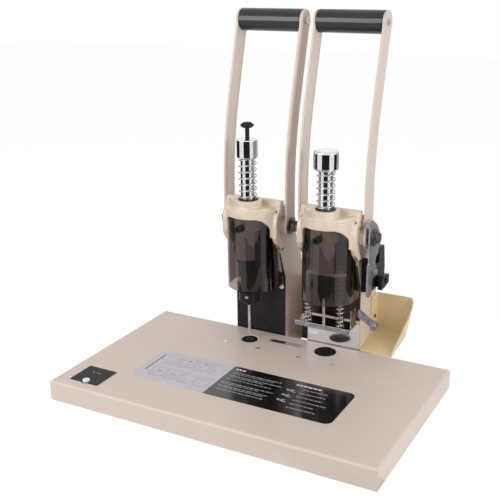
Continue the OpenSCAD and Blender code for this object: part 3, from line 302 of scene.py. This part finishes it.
def smoked_acrylic():
    """Bent sheet of smoked acrylic: clear, brownish, with polished faces. Lamps shine through
    it, because light that a thin bent sheet lets past would otherwise be lost."""
    made, tree, shader, coords = new_material("smoked_acrylic", transmission_weight=1.0, ior=1.49,
                                              roughness=0.02)
    shader.inputs["Base Color"].default_value = linear(SMOKE)
    haze = patches(tree, coords, 30 * MM)
    tree.links.new(between(tree, haze, 0.01, 0.05), shader.inputs["Roughness"])
    clear = add_node(tree, "ShaderNodeBsdfTransparent", {"Color": linear(SMOKE)})
    path = add_node(tree, "ShaderNodeLightPath")
    mix = add_node(tree, "ShaderNodeMixShader", links={"Fac": path.outputs["Is Shadow Ray"]})
    tree.links.new(shader.outputs["BSDF"], mix.inputs[1])
    tree.links.new(clear.outputs["BSDF"], mix.inputs[2])
    output = next(n for n in tree.nodes if n.type == "OUTPUT_MATERIAL")
    tree.links.new(mix.outputs["Shader"], output.inputs["Surface"])
    return made


def film(name, light, dark):
    """Printed polyester film: even colour under a clear gloss, with slight waves."""
    return coated(name, light, dark, (0.14, 0.22), 6 * MM, 0.01 * MM, cloud_size=60 * MM,
                  coat_weight=0.3, coat_roughness=0.08)


def ink(name, colour, edge):
    """Screen-printed ink, a little uneven."""
    return coated(name, colour, edge, (0.4, 0.55), 0.6 * MM, 0.004 * MM, cloud_size=3 * MM)


FINISHES = {
    "cream_paint": powder_coat(),
    "casting_paint": casting_enamel(),
    "steel": brushed_steel(),
    "dark_steel": blackened_steel(),
    "bright_steel": zinc_plate(),
    "chrome": chrome(),
    "black_metal": black_powder_coat(),
    "black_plastic": black_moulding(),
    "grip_rubber": handle_sleeve(),
    "white_plastic": white_moulding(),
    "foot_rubber": foot_rubber(),
    "smoked": smoked_acrylic(),
    "label_light": film("label_film_light", "#c8c1ca", "#c0b9c2"),
    "label_dark": film("label_film_dark", "#161415", "#121112"),
    "arrow_film": film("arrow_film_silver", "#b9b4b6", "#a7a2a4"),
    "beige_plastic": beige_moulding(),
    "board": circuit_board(),
}
POLISHED_PLATE = polished_plate()
PLATED_PLATE = plated_plate()
# A darker copy of the brushed steel for the presser: painted shade
PRESSER_STEEL_PAINTED_SHADE = presser_steel_painted_shade()
MATTE_BLACK = matte_black()
# Painted shade for the columns' inner faces
INNER_PAINTED_SHADE = inner_painted_shade()
PALE_INK = ink("pale_ink", "#98959a", "#838085")
DARK_INK = ink("dark_ink", "#6a656c", "#86818a")
FAINT_INK = ink("faint_ink", "#8d8691", "#9b949f")
WHITE_INK = ink("white_ink", "#e6e4e4", "#d0cecf")
ARROW_INK = ink("arrow_ink", "#232123", "#1c1b1c")

for node_name, node_object in NODES.items():
    node_object.data.materials.clear()
    node_object.data.materials.append(FINISHES[SLOT_OF[node_name]])


# ---------------------------------------------------------------- making pieces

WELD = 0.002 * MM
FLAT = math.radians(0.4)
SHARP = math.radians(32)


def merged_shape(node):
    """A CAD node's surface with its loose triangles joined and its flat faces whole."""
    shape = bmesh.new()
    shape.from_mesh(NODES[node].data)
    bmesh.ops.remove_doubles(shape, verts=shape.verts, dist=WELD)
    bmesh.ops.dissolve_limit(shape, angle_limit=FLAT, verts=shape.verts, edges=shape.edges)
    return shape


def to_piece(shape, name):
    """A new object made of a bmesh, smooth all over, with no shading left from the CAD."""
    mesh = bpy.data.meshes.new(name)
    shape.to_mesh(mesh)
    shape.free()
    if "custom_normal" in mesh.attributes:
        mesh.attributes.remove(mesh.attributes["custom_normal"])
    mesh.polygons.foreach_set("use_smooth", [True] * len(mesh.polygons))
    piece = bpy.data.objects.new(name, mesh)
    bpy.context.scene.collection.objects.link(piece)
    return piece


def stand_for(piece, *nodes, finish=None):
    """The piece takes the body, slot and finish of its CAD nodes, which it replaces."""
    slot = SLOT_OF[nodes[0]]
    piece.data.materials.clear()
    piece.data.materials.append(finish or FINISHES[slot])
    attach(piece, NODES[nodes[0]]["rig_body"])
    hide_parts(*nodes)
    return piece


def softened(node, radius, segments=2, finish=None):
    """A CAD node whose sharp edges are broken by a small radius, as on the real piece."""
    piece = to_piece(merged_shape(node), node + "_finished")
    bevel = piece.modifiers.new("broken_edges", "BEVEL")
    bevel.width = radius
    bevel.segments = segments
    bevel.limit_method = "ANGLE"
    bevel.angle_limit = SHARP
    bevel.use_clamp_overlap = False
    bevel.miter_outer = "MITER_ARC"
    weighted = piece.modifiers.new("flat_faces_stay_flat", "WEIGHTED_NORMAL")
    weighted.keep_sharp = False
    return stand_for(piece, node, finish=finish)


def painted_shade_inside(piece, node):
    """Faces that look towards the middle of a sheet-metal box get painted shade instead of their
    coat.
    """
    centre = middle(node)
    piece.data.materials.append(INNER_PAINTED_SHADE)
    for face in piece.data.polygons:
        if face.normal.dot(centre - face.center) > 0:
            face.material_index = 1


def baked(piece):
    """The piece's modifiers turned into plain mesh."""
    graph = bpy.context.evaluated_depsgraph_get()
    mesh = bpy.data.meshes.new_from_object(piece.evaluated_get(graph))
    piece.modifiers.clear()
    piece.data = mesh
    return piece


# ---------------------------------------------------------------- cast heads

SKIN_VOXEL = 0.7 * MM
SKIN_ROUNDING = 4


def cast_head(node):
    """The casting as it leaves its mould: one skin, with every edge and inner corner rounded by
    about a voxel for each pair of smoothing steps."""
    piece = to_piece(merged_shape(node), node + "_cast")
    remesh = piece.modifiers.new("one_skin", "REMESH")
    remesh.mode = "VOXEL"
    remesh.voxel_size = SKIN_VOXEL
    remesh.use_smooth_shade = True
    smooth = piece.modifiers.new("mould_radii", "SMOOTH")
    smooth.factor = 0.5
    smooth.iterations = SKIN_ROUNDING
    baked(piece)
    return stand_for(piece, node)


# ---------------------------------------------------------------- wound springs

def geometry_tree(name, sockets):
    """An empty geometry tree with named inputs: {name: (socket type, default)}."""
    tree = bpy.data.node_groups.new(name, "GeometryNodeTree")
    tree.interface.new_socket("Geometry", in_out="INPUT", socket_type="NodeSocketGeometry")
    tree.interface.new_socket("Geometry", in_out="OUTPUT", socket_type="NodeSocketGeometry")
    for label, (kind, default) in sockets.items():
        socket = tree.interface.new_socket(label, in_out="INPUT", socket_type=kind)
        if default is not None:
            socket.default_value = default
    return tree, add_node(tree, "NodeGroupInput").outputs


def end_tree(tree, geometry, material):
    """The tree's last nodes: real geometry with its material."""
    real = add_node(tree, "GeometryNodeRealizeInstances", links={"Geometry": geometry})
    painted = add_node(tree, "GeometryNodeSetMaterial",
                       links={"Geometry": real.outputs[0], "Material": material})
    add_node(tree, "NodeGroupOutput", links={0: painted.outputs[0]})


def grown(name, tree, inputs, mesh=None):
    """A plain mesh piece made by a geometry tree with these inputs."""
    piece = bpy.data.objects.new(name, mesh or bpy.data.meshes.new(name))
    bpy.context.scene.collection.objects.link(piece)
    modifier = piece.modifiers.new("made", "NODES")
    modifier.node_group = tree
    for item in tree.interface.items_tree:
        if item.in_out == "INPUT" and item.name in inputs:
            modifier[item.identifier] = inputs[item.name]
    baked(piece)
    piece.data.polygons.foreach_set("use_smooth", [True] * len(piece.data.polygons))
    return piece


def math_node(tree, operation, *operands):
    """One arithmetic step; numbers become values and sockets become links."""
    numbers = {i: v for i, v in enumerate(operands) if isinstance(v, (int, float))}
    sockets = {i: v for i, v in enumerate(operands) if not isinstance(v, (int, float))}
    return add_node(tree, "ShaderNodeMath", numbers, sockets, operation=operation).outputs[0]


def spring_tree():
    """A right-handed coil of round wire that stands on Z 0, with its end turns wound flat."""
    number = "NodeSocketFloat"
    tree, given = geometry_tree("wound_spring", {
        "Coil Radius": (number, 10 * MM), "Wire": (number, 1.5 * MM), "Height": (number, 50 * MM),
        "Turns": (number, 6.0), "Flat Turns": (number, 0.6), "Points": ("NodeSocketInt", 200),
        "Material": ("NodeSocketMaterial", None)})
    line = add_node(tree, "GeometryNodeCurvePrimitiveLine")
    points = add_node(tree, "GeometryNodeResampleCurve",
                      links={"Curve": line.outputs[0], "Count": given["Points"]})
    along = add_node(tree, "GeometryNodeSplineParameter").outputs["Factor"]
    turned = math_node(tree, "MULTIPLY", along, given["Turns"])
    angle = math_node(tree, "MULTIPLY", turned, math.tau)
    last = math_node(tree, "SUBTRACT", given["Turns"], given["Flat Turns"])
    half_wire = math_node(tree, "MULTIPLY", given["Wire"], 0.5)
    rise = add_node(tree, "ShaderNodeMapRange", links={
        "Value": turned, "From Min": given["Flat Turns"], "From Max": last, "To Min": half_wire,
        "To Max": math_node(tree, "SUBTRACT", given["Height"], half_wire)})
    place = add_node(tree, "ShaderNodeCombineXYZ", links={
        "X": math_node(tree, "MULTIPLY", math_node(tree, "COSINE", angle), given["Coil Radius"]),
        "Y": math_node(tree, "MULTIPLY", math_node(tree, "SINE", angle), given["Coil Radius"]),
        "Z": rise.outputs["Result"]})
    coil = add_node(tree, "GeometryNodeSetPosition",
                    links={"Geometry": points.outputs[0], "Position": place.outputs[0]})
    section = add_node(tree, "GeometryNodeCurvePrimitiveCircle", {"Resolution": 12},
                       {"Radius": half_wire})
    wire = add_node(tree, "GeometryNodeCurveToMesh", {"Fill Caps": True},
                    {"Curve": coil.outputs[0], "Profile Curve": section.outputs[0]})
    end_tree(tree, wire.outputs[0], given["Material"])
    return tree


POINTS_A_TURN = 40
SEAT_GAP = 0.05 * MM
RETURN_WIRE = 1.6 * MM
RETURN_SPRINGS = (("drill_return_spring", "drill_feed_slide", 7.5),
                  ("rivet_return_spring", "rivet_feed_slide", 7.0))
PRESSER_WIRE = 1.2 * MM
PRESSER_TURNS = 13


def make_springs():
    """The two return springs round the quills and the pair on the presser's rods."""
    tree = spring_tree()
    for node, joint, turns in RETURN_SPRINGS:
        low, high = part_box(node)
        centre = (low + high) / 2
        seat = low.z + SEAT_GAP
        height = high.z - low.z - 2 * SEAT_GAP
        coil_r = (high.x - low.x - RETURN_WIRE) / 2
        piece = grown(node + "_wound", tree, {
            "Coil Radius": coil_r, "Wire": RETURN_WIRE, "Height": height, "Turns": turns,
            "Points": int(turns * POINTS_A_TURN), "Material": FINISHES[SLOT_OF[node]]})
        piece.data.transform(Matrix.Translation((centre.x, centre.y, seat)))
        stand_for(piece, node)
        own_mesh(piece)
    node = "presser_springs"
    low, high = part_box(node)
    outer = high.y - low.y
    height = high.z - low.z
    for side, x in (("left", low.x + outer / 2), ("right", high.x - outer / 2)):
        piece = grown("presser_spring_" + side, tree, {
            "Coil Radius": (outer - PRESSER_WIRE) / 2, "Wire": PRESSER_WIRE, "Height": height,
            "Turns": float(PRESSER_TURNS), "Points": PRESSER_TURNS * POINTS_A_TURN,
            "Material": FINISHES[SLOT_OF[node]]})
        piece.data.transform(Matrix.Translation((x, (low.y + high.y) / 2, low.z)))
        stand_for(piece, node)
        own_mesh(piece)


# ---------------------------------------------------------------- printed films

INK_LIFT = 0.02 * MM
INK_DEPTH = 0.05 * MM


def bar_tree():
    """Flat bars of ink, one on each point, as long and as wide as the point says."""
    tree, given = geometry_tree("printed_bars", {
        "Ink Depth": ("NodeSocketFloat", INK_DEPTH), "Material": ("NodeSocketMaterial", None)})
    size = {}
    for label in ("bar_length", "bar_width"):
        size[label] = add_node(tree, "GeometryNodeInputNamedAttribute", {"Name": label},
                               data_type="FLOAT").outputs[0]
    scale = add_node(tree, "ShaderNodeCombineXYZ", links={
        "X": size["bar_length"], "Y": size["bar_width"], "Z": given["Ink Depth"]})
    unit = add_node(tree, "GeometryNodeMeshCube", {"Size": (1, 1, 1)})
    bars = add_node(tree, "GeometryNodeInstanceOnPoints", links={
        "Points": given["Geometry"], "Instance": unit.outputs[0], "Scale": scale.outputs[0]})
    end_tree(tree, bars.outputs[0], given["Material"])
    return tree


BAR_TREE = bar_tree()


def printed(name, bars, film_top, material):
    """A print of bars, each (x, y, length, width) from its centre, on a film of the base."""
    mesh = bpy.data.meshes.new(name)
    height = film_top + INK_LIFT + INK_DEPTH / 2
    mesh.from_pydata([(x, y, height) for x, y, _, _ in bars], [], [])
    for label, column in (("bar_length", 2), ("bar_width", 3)):
        layer = mesh.attributes.new(label, "FLOAT", "POINT")
        layer.data.foreach_set("value", [bar[column] for bar in bars])
    piece = grown(name, BAR_TREE, {"Ink Depth": INK_DEPTH, "Material": material}, mesh)
    piece.data.polygons.foreach_set("use_smooth", [False] * len(piece.data.polygons))
    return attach(piece, "frame")


def broken_line(rng, x0, x1, y, width, shortest=2.5 * MM, longest=9 * MM, gap=1.1 * MM):
    """Dashes of random length from x0 to x1, which stand where a line of print would."""
    bars = []
    x = x0
    while x < x1 - shortest:
        length = min(rng.uniform(shortest, longest), x1 - x)
        bars.append((x + length / 2, y, length, width))
        x += length + gap
    return bars


def frame_lines(x, y, length, width, line):
    """The four sides of a box drawn in thin bars."""
    return [(x, y + width / 2, length, line), (x, y - width / 2, length, line),
            (x - length / 2, y, line, width), (x + length / 2, y, line, width)]


LABEL_SEED = 7
LABEL_MARGIN = 4 * MM
SIDE_STRIP = 16 * MM
# Marks of the side strip: distance of each below the film's far edge, and its length
SIDE_MARKS = ((18 * MM, 14 * MM), (31 * MM, 9 * MM), (41 * MM, 8 * MM), (52 * MM, 11 * MM))
PICTURE_COLUMNS, PICTURE_ROWS = 4, 2
STROKES_A_PICTURE = 5


def make_picture_half(rng):
    """The film's pale half: a side strip, and picture boxes with a caption and some strokes."""
    low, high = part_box("instruction_label_light")
    boxes, strokes = [], []
    left = low.x + SIDE_STRIP
    step_x = (high.x - LABEL_MARGIN - left) / PICTURE_COLUMNS
    step_y = (high.y - low.y - 2 * LABEL_MARGIN) / PICTURE_ROWS
    for column in range(PICTURE_COLUMNS):
        for row in range(PICTURE_ROWS):
            x = left + step_x * (column + 0.5)
            y = high.y - LABEL_MARGIN - step_y * (row + 0.5) + 3 * MM
            boxes += frame_lines(x, y, step_x - 3 * MM, step_y - 14 * MM, 0.35 * MM)
            boxes += broken_line(rng, x - step_x * 0.36, x + step_x * 0.3, y - step_y / 2 + 4 * MM,
                                 0.7 * MM, 1.5 * MM, 4 * MM, 0.8 * MM)
            for _ in range(STROKES_A_PICTURE):
                strokes.append((x + rng.uniform(-0.25, 0.25) * step_x,
                                y + rng.uniform(-0.18, 0.18) * step_y,
                                rng.uniform(1, 5) * MM, rng.uniform(0.4, 1.2) * MM))
    strip_x = low.x + 8.5 * MM
    strip = [(strip_x, high.y - below, 2.2 * MM, length) for below, length in SIDE_MARKS]
    printed("label_picture_boxes", boxes, high.z, FAINT_INK)
    printed("label_picture_strokes", strokes + strip, high.z, DARK_INK)


FIRST_COLUMN = 5 * MM
SECOND_COLUMN = 101 * MM
HEADING_DOWN = 7 * MM
LINE_STEP = 9.2 * MM
LINE_ROWS = 6
TWO_LINE_ROWS = (0, 1, 3, 4)
LINE_WIDTH = 1.9 * MM
# Small sketch left of the second column: x, y, length and width of its strokes in mm
SKETCH = ((0, 0, 8, 1), (3, 2.5, 5, 1), (-3, 1.8, 3, 1), (5, -1.6, 6, 0.8))
SKETCH_ROWS = 3


def make_line_half(rng):
    """The film's black half: two columns of broken lines, their headings and small sketches."""
    low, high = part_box("instruction_label_dark")
    first_x = low.x + FIRST_COLUMN
    second_x = low.x + SECOND_COLUMN
    heading_y = high.y - HEADING_DOWN
    lines = []
    for row in range(LINE_ROWS):
        y = heading_y - LINE_STEP * (row + 0.9)
        lines += broken_line(rng, first_x, first_x + rng.uniform(58, 72) * MM, y, LINE_WIDTH)
        if row in TWO_LINE_ROWS:
            lines += broken_line(rng, first_x + 2 * MM, first_x + rng.uniform(40, 64) * MM,
                                 y - 3.4 * MM, 1.5 * MM)
    for row in range(LINE_ROWS):
        y = heading_y - 5 * MM - LINE_STEP * (row + 0.7)
        lines += broken_line(rng, second_x, second_x + rng.uniform(30, 48) * MM, y, LINE_WIDTH)
    bright = broken_line(rng, first_x, first_x + 14 * MM, heading_y, 3 * MM, 3 * MM, 5 * MM)
    bright += broken_line(rng, second_x - 12 * MM, second_x + 20 * MM, heading_y - 3 * MM,
                          3.2 * MM, 3 * MM, 6 * MM)
    for row in range(SKETCH_ROWS):
        x = second_x - 13 * MM
        y = heading_y - (20 + 13 * row) * MM
        for dx, dy, length, width in SKETCH:
            bright.append((x + dx * MM, y + dy * MM, length * MM, width * MM))
    printed("label_lines", lines, high.z, PALE_INK)
    printed("label_headings", bright, high.z, WHITE_INK)


def make_label_prints():
    """Plain generic print on the big film, with no text in it."""
    rng = random.Random(LABEL_SEED)
    make_picture_half(rng)
    make_line_half(rng)


def flat_ink(name, outline, film_top, material):
    """A flat printed shape with the given corners, seen from above anticlockwise."""
    shape = bmesh.new()
    low = [shape.verts.new((x, y, film_top + INK_LIFT)) for x, y in outline]
    face = shape.faces.new(low)
    lifted = bmesh.ops.extrude_face_region(shape, geom=[face])["geom"]
    for part in lifted:
        if isinstance(part, bmesh.types.BMVert):
            part.co.z += INK_DEPTH
    bmesh.ops.recalc_face_normals(shape, faces=shape.faces)
    piece = to_piece(shape, name)
    piece.data.polygons.foreach_set("use_smooth", [False] * len(piece.data.polygons))
    piece.data.materials.append(material)
    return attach(piece, "frame")


ARROW_SEED = 3
ARROW_HEAD = 8 * MM
ARROW_LENGTH = 24 * MM
ARROW_HALF_WIDTH = 3.2 * MM


def make_arrow_print():
    """A plain black arrow on the left half of the small silver film, lines on the right."""
    low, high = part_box("arrow_label")
    mid_y = (low.y + high.y) / 2
    neck_x = low.x + ARROW_HEAD
    end_x = low.x + ARROW_LENGTH
    near_y, far_y = mid_y - ARROW_HALF_WIDTH, mid_y + ARROW_HALF_WIDTH
    flat_ink("arrow_print", [(low.x + 1 * MM, mid_y), (neck_x, low.y + 0.5 * MM),
                             (neck_x, near_y), (end_x, near_y), (end_x, far_y), (neck_x, far_y),
                             (neck_x, high.y - 0.5 * MM)], high.z, ARROW_INK)
    rng = random.Random(ARROW_SEED)
    lines = []
    for y in (mid_y + 2 * MM, mid_y - 2 * MM):
        lines += broken_line(rng, end_x + 2 * MM, high.x - 3 * MM, y, 1.2 * MM, 2 * MM, 5 * MM)
    printed("arrow_film_lines", lines, high.z, DARK_INK)


# Marks of the control plate: x and y from its middle and length, in mm
CONTROL_MARKS = ((-5, 8, 2.5), (0, 8.4, 1.8), (4, 7.8, 2.2))


def make_control_print():
    """Three small plain marks on the black control plate."""
    mid = middle("control_plate")
    high = top_of("control_plate")
    marks = [(mid.x + dx * MM, mid.y + dy * MM, length * MM, 0.9 * MM)
             for dx, dy, length in CONTROL_MARKS]
    printed("control_marks", marks, high, WHITE_INK)


# ---------------------------------------------------------------- the machine's pieces

# Radius of the broken edges for each kind of piece, in mm, in the order they are made
BROKEN_EDGES = (
    (0.35, ("base_pan", "left_column", "right_column")),
    (0.45, ("drill_lever_arms", "rivet_lever_arms")),
    (0.25, ("left_front_panel", "right_front_plate")),
    (0.3, ("drill_guard", "rivet_guard")),
    (0.6, ("waste_tray",)),
    (0.15, ("control_plate",)),
    (0.35, ("presser_frame",)),
    (0.3, ("cutter_body", "power_inlet")),
    (0.35, ("cutter_plate", "drill_pivot_bolts", "rivet_pivot_bolts")),
    (0.2, ("panel_screws", "side_screws", "guard_screws", "bracket_screws", "start_button",
           "chuck_screw", "drill_pad", "rivet_anvil")),
    (0.8, ("drill_grip", "rivet_grip")),
    (0.35, ("drill_chuck", "rivet_die", "spindle_motor")),
)
OWN_FINISH = {"right_front_plate": POLISHED_PLATE, "presser_frame": PRESSER_STEEL_PAINTED_SHADE,
              "cutter_plate": PLATED_PLATE, "drill_pad": MATTE_BLACK, "rivet_anvil": MATTE_BLACK}
ROUND_EDGES = {"drill_grip": 3, "rivet_grip": 3}


def make_broken_edges():
    """Every piece whose edges show, with the finish of its own where its slot's doesn't fit."""
    for radius, nodes in BROKEN_EDGES:
        for node in nodes:
            piece = softened(node, radius * MM, ROUND_EDGES.get(node, 2), OWN_FINISH.get(node))
            # The columns' inner faces get painted shade.
            if node in ("left_column", "right_column"):
                painted_shade_inside(piece, node)


cast_head("drill_casting")
cast_head("rivet_casting")
make_broken_edges()
make_springs()
make_label_prints()
make_arrow_print()
make_control_print()


# ---------------------------------------------------------------- camera

IMAGE_SIDE = 500
FOCAL_PIXELS = 859.9
PRINCIPAL_POINT = (251.88, 250.48)
CAMERA_AZIMUTH = 28.70
CAMERA_ELEVATION = 18.35
CAMERA_ROLL = -0.01071
CAMERA_DISTANCE = 1.02651
LOOKED_AT = Vector((-0.011486, -0.0045, 0.17687))
SENSOR = 36.0


def direction(azimuth, elevation):
    """From the machine outwards: azimuth from the front to the right, elevation up, degrees."""
    az, el = math.radians(azimuth), math.radians(elevation)
    return Vector((math.sin(az) * math.cos(el), -math.cos(az) * math.cos(el), math.sin(el)))


def make_camera():
    """The photograph's view: right of the front, a little above, about a metre away."""
    back = direction(CAMERA_AZIMUTH, CAMERA_ELEVATION)
    level = direction(CAMERA_AZIMUTH + 90, 0)
    upward = back.cross(level)
    turn = Matrix.Rotation(CAMERA_ROLL, 3, "Z")
    axes = Matrix((level, upward, back)).transposed() @ turn
    data = bpy.data.cameras.new("photo_camera")
    data.sensor_width = SENSOR
    data.lens = FOCAL_PIXELS / IMAGE_SIDE * SENSOR
    data.shift_x = (IMAGE_SIDE / 2 - PRINCIPAL_POINT[0]) / IMAGE_SIDE
    data.shift_y = (PRINCIPAL_POINT[1] - IMAGE_SIDE / 2) / IMAGE_SIDE
    camera = bpy.data.objects.new("photo_camera", data)
    camera.matrix_world = Matrix.Translation(LOOKED_AT + back * CAMERA_DISTANCE) @ axes.to_4x4()
    bpy.context.scene.collection.objects.link(camera)
    bpy.context.scene.camera = camera


# ---------------------------------------------------------------- light, floor and background

# What the white tent gives to paint, as a share of the white that eye and mirrors see
AMBIENT = 0.6
LEVERS = Vector((0.05, 0.0, 0.4))
# Each softbox: the point it faces, azimuth, elevation, distance, width, height and radiance
SOFTBOXES = {
    "softbox_front_left": (LOOKED_AT, -28.7, 23.0, 1.35, 0.6, 0.95, 4.1),
    "softbox_right": (LEVERS, 78.0, 4.0, 1.3, 0.4, 0.4, 13.0),
}
# Each flag: azimuth of its middle, half its angle, and where it starts and ends on the floor.
# The gap in the front one is where the quills' reflection falls, which stays white.
FLAGS = {
    "flag_front_near": (19.0, 33.0, 0.3, 0.6),
    "flag_front_far": (19.0, 33.0, 0.82, 2.6),
    "flag_left": (-90.0, 28.0, 0.4, 2.6),
    "flag_right": (123.0, 29.0, 0.4, 2.6),
}
FLAG_HEIGHT = 0.4 * MM
FLOOR_REACH = 4.0
# White paper to the eye: its own glow, and what a shadow can take away
PAPER_GLOW = 0.74
PAPER_SHADE = (0.4, 0.4, 0.4, 1)
PAPER_PLAIN = (0.8, 0.8, 0.8, 1)
PAPER_MIRRORED = 0.95


def make_world():
    """A white tent: full white to the eye, to mirrors and through glass, softer on the paint."""
    world = bpy.data.worlds.new("white_tent")
    bpy.context.scene.world = world
    world.use_nodes = True
    tree = world.node_tree
    tree.nodes.clear()
    path = add_node(tree, "ShaderNodeLightPath")
    level = add_node(tree, "ShaderNodeMapRange", {"To Min": 1.0, "To Max": AMBIENT},
                     {"Value": path.outputs["Is Diffuse Ray"]})
    sky = add_node(tree, "ShaderNodeBackground", {"Color": (1, 1, 1, 1)},
                   {"Strength": level.outputs["Result"]})
    add_node(tree, "ShaderNodeOutputWorld", links={"Surface": sky.outputs[0]})


def make_softbox(name, aimed_at, azimuth, elevation, distance, width, height, radiance):
    """A soft light that faces the given point of the machine from the given direction."""
    data = bpy.data.lights.new(name, "AREA")
    data.shape = "RECTANGLE"
    data.size = width
    data.size_y = height
    data.energy = radiance * math.pi * width * height
    lamp = bpy.data.objects.new(name, data)
    back = direction(azimuth, elevation)
    lamp.location = aimed_at + back * distance
    lamp.rotation_euler = (-back).to_track_quat("-Z", "Y").to_euler()
    bpy.context.scene.collection.objects.link(lamp)


def plane(name, corners, material):
    """A flat stage piece with the given corners."""
    mesh = bpy.data.meshes.new(name)
    mesh.from_pydata(corners, [], [list(range(len(corners)))])
    mesh.materials.append(material)
    piece = bpy.data.objects.new(name, mesh)
    bpy.context.scene.collection.objects.link(piece)
    return piece


def make_floor():
    """White paper: white to the eye with a faint shadow, white in mirrors, plain to light."""
    made = bpy.data.materials.new("white_paper")
    made.use_nodes = True
    tree = made.node_tree
    tree.nodes.clear()
    path = add_node(tree, "ShaderNodeLightPath").outputs
    plain = add_node(tree, "ShaderNodeBsdfDiffuse", {"Color": PAPER_PLAIN})
    shaded = add_node(tree, "ShaderNodeBsdfDiffuse", {"Color": PAPER_SHADE})
    glow = add_node(tree, "ShaderNodeEmission", {"Strength": PAPER_GLOW})
    seen = add_node(tree, "ShaderNodeAddShader")
    tree.links.new(shaded.outputs[0], seen.inputs[0])
    tree.links.new(glow.outputs[0], seen.inputs[1])
    eye = math_node(tree, "MAXIMUM", path["Is Camera Ray"], path["Is Transmission Ray"])
    to_eye = add_node(tree, "ShaderNodeMixShader", links={"Fac": eye})
    tree.links.new(plain.outputs[0], to_eye.inputs[1])
    tree.links.new(seen.outputs[0], to_eye.inputs[2])
    mirrored = add_node(tree, "ShaderNodeEmission", {"Strength": PAPER_MIRRORED})
    surface = add_node(tree, "ShaderNodeMixShader", links={"Fac": path["Is Glossy Ray"]})
    tree.links.new(to_eye.outputs[0], surface.inputs[1])
    tree.links.new(mirrored.outputs[0], surface.inputs[2])
    add_node(tree, "ShaderNodeOutputMaterial", links={"Surface": surface.outputs[0]})
    plane("paper_floor", [(x * FLOOR_REACH, y * FLOOR_REACH, 0)
                          for x, y in ((-1, -1), (1, -1), (1, 1), (-1, 1))], made)


def card(name, colour):
    """A dull card of the given colour."""
    made = bpy.data.materials.new(name)
    made.use_nodes = True
    shader = made.node_tree.nodes["Principled BSDF"]
    shader.inputs["Base Color"].default_value = linear(colour)
    shader.inputs["Specular IOR Level"].default_value = 0.0
    return made


def make_flags():
    """Black cards on the floor that only mirrors see: they draw the dark bands on the chrome."""
    made = card("black_card", "#29282b")
    centre = (DRILL_AXIS + RIVET_AXIS) / 2
    for name, (azimuth, half_angle, near, far) in FLAGS.items():
        corners = []
        for reach, side in ((near, -1), (far, -1), (far, 1), (near, 1)):
            out = direction(azimuth + side * half_angle, 0) * reach
            corners.append((centre.x + out.x, centre.y + out.y, FLAG_HEIGHT))
        flag = plane(name, corners, made)
        flag.visible_camera = False
        flag.visible_diffuse = False
        flag.visible_shadow = False
        flag.visible_transmission = False


SLOT_CARD_OVERLAP = 5 * MM
SLOT_CARD_SHARE = 0.45


def make_painted_slot_shade():
    """A dark card behind the slot between the columns, seen only from its front: painted shade
    that keeps the slot as dark as in the photo."""
    # Its dull brown is painted shade.
    made = card("slot_shade_paint", "#6e645e")
    tree = made.node_tree
    front = tree.nodes["Principled BSDF"].outputs["BSDF"]
    side = add_node(tree, "ShaderNodeNewGeometry").outputs["Backfacing"]
    clear = add_node(tree, "ShaderNodeBsdfTransparent")
    mix = add_node(tree, "ShaderNodeMixShader", links={"Fac": side})
    tree.links.new(front, mix.inputs[1])
    tree.links.new(clear.outputs[0], mix.inputs[2])
    tree.links.new(mix.outputs[0], tree.nodes["Material Output"].inputs["Surface"])
    x0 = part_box("left_column")[1].x - SLOT_CARD_OVERLAP
    x1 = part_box("right_column")[0].x + SLOT_CARD_OVERLAP
    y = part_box("left_column")[1].y + MM
    top = top_of("left_column") * SLOT_CARD_SHARE
    plane("slot_shade_sheet", [(x0, y, 0), (x1, y, 0), (x1, y, top), (x0, y, top)], made)


make_camera()
make_world()
for softbox_name, softbox in SOFTBOXES.items():
    make_softbox(softbox_name, *softbox)
make_floor()
make_flags()
make_painted_slot_shade()
bpy.context.scene.view_settings.view_transform = "Standard"
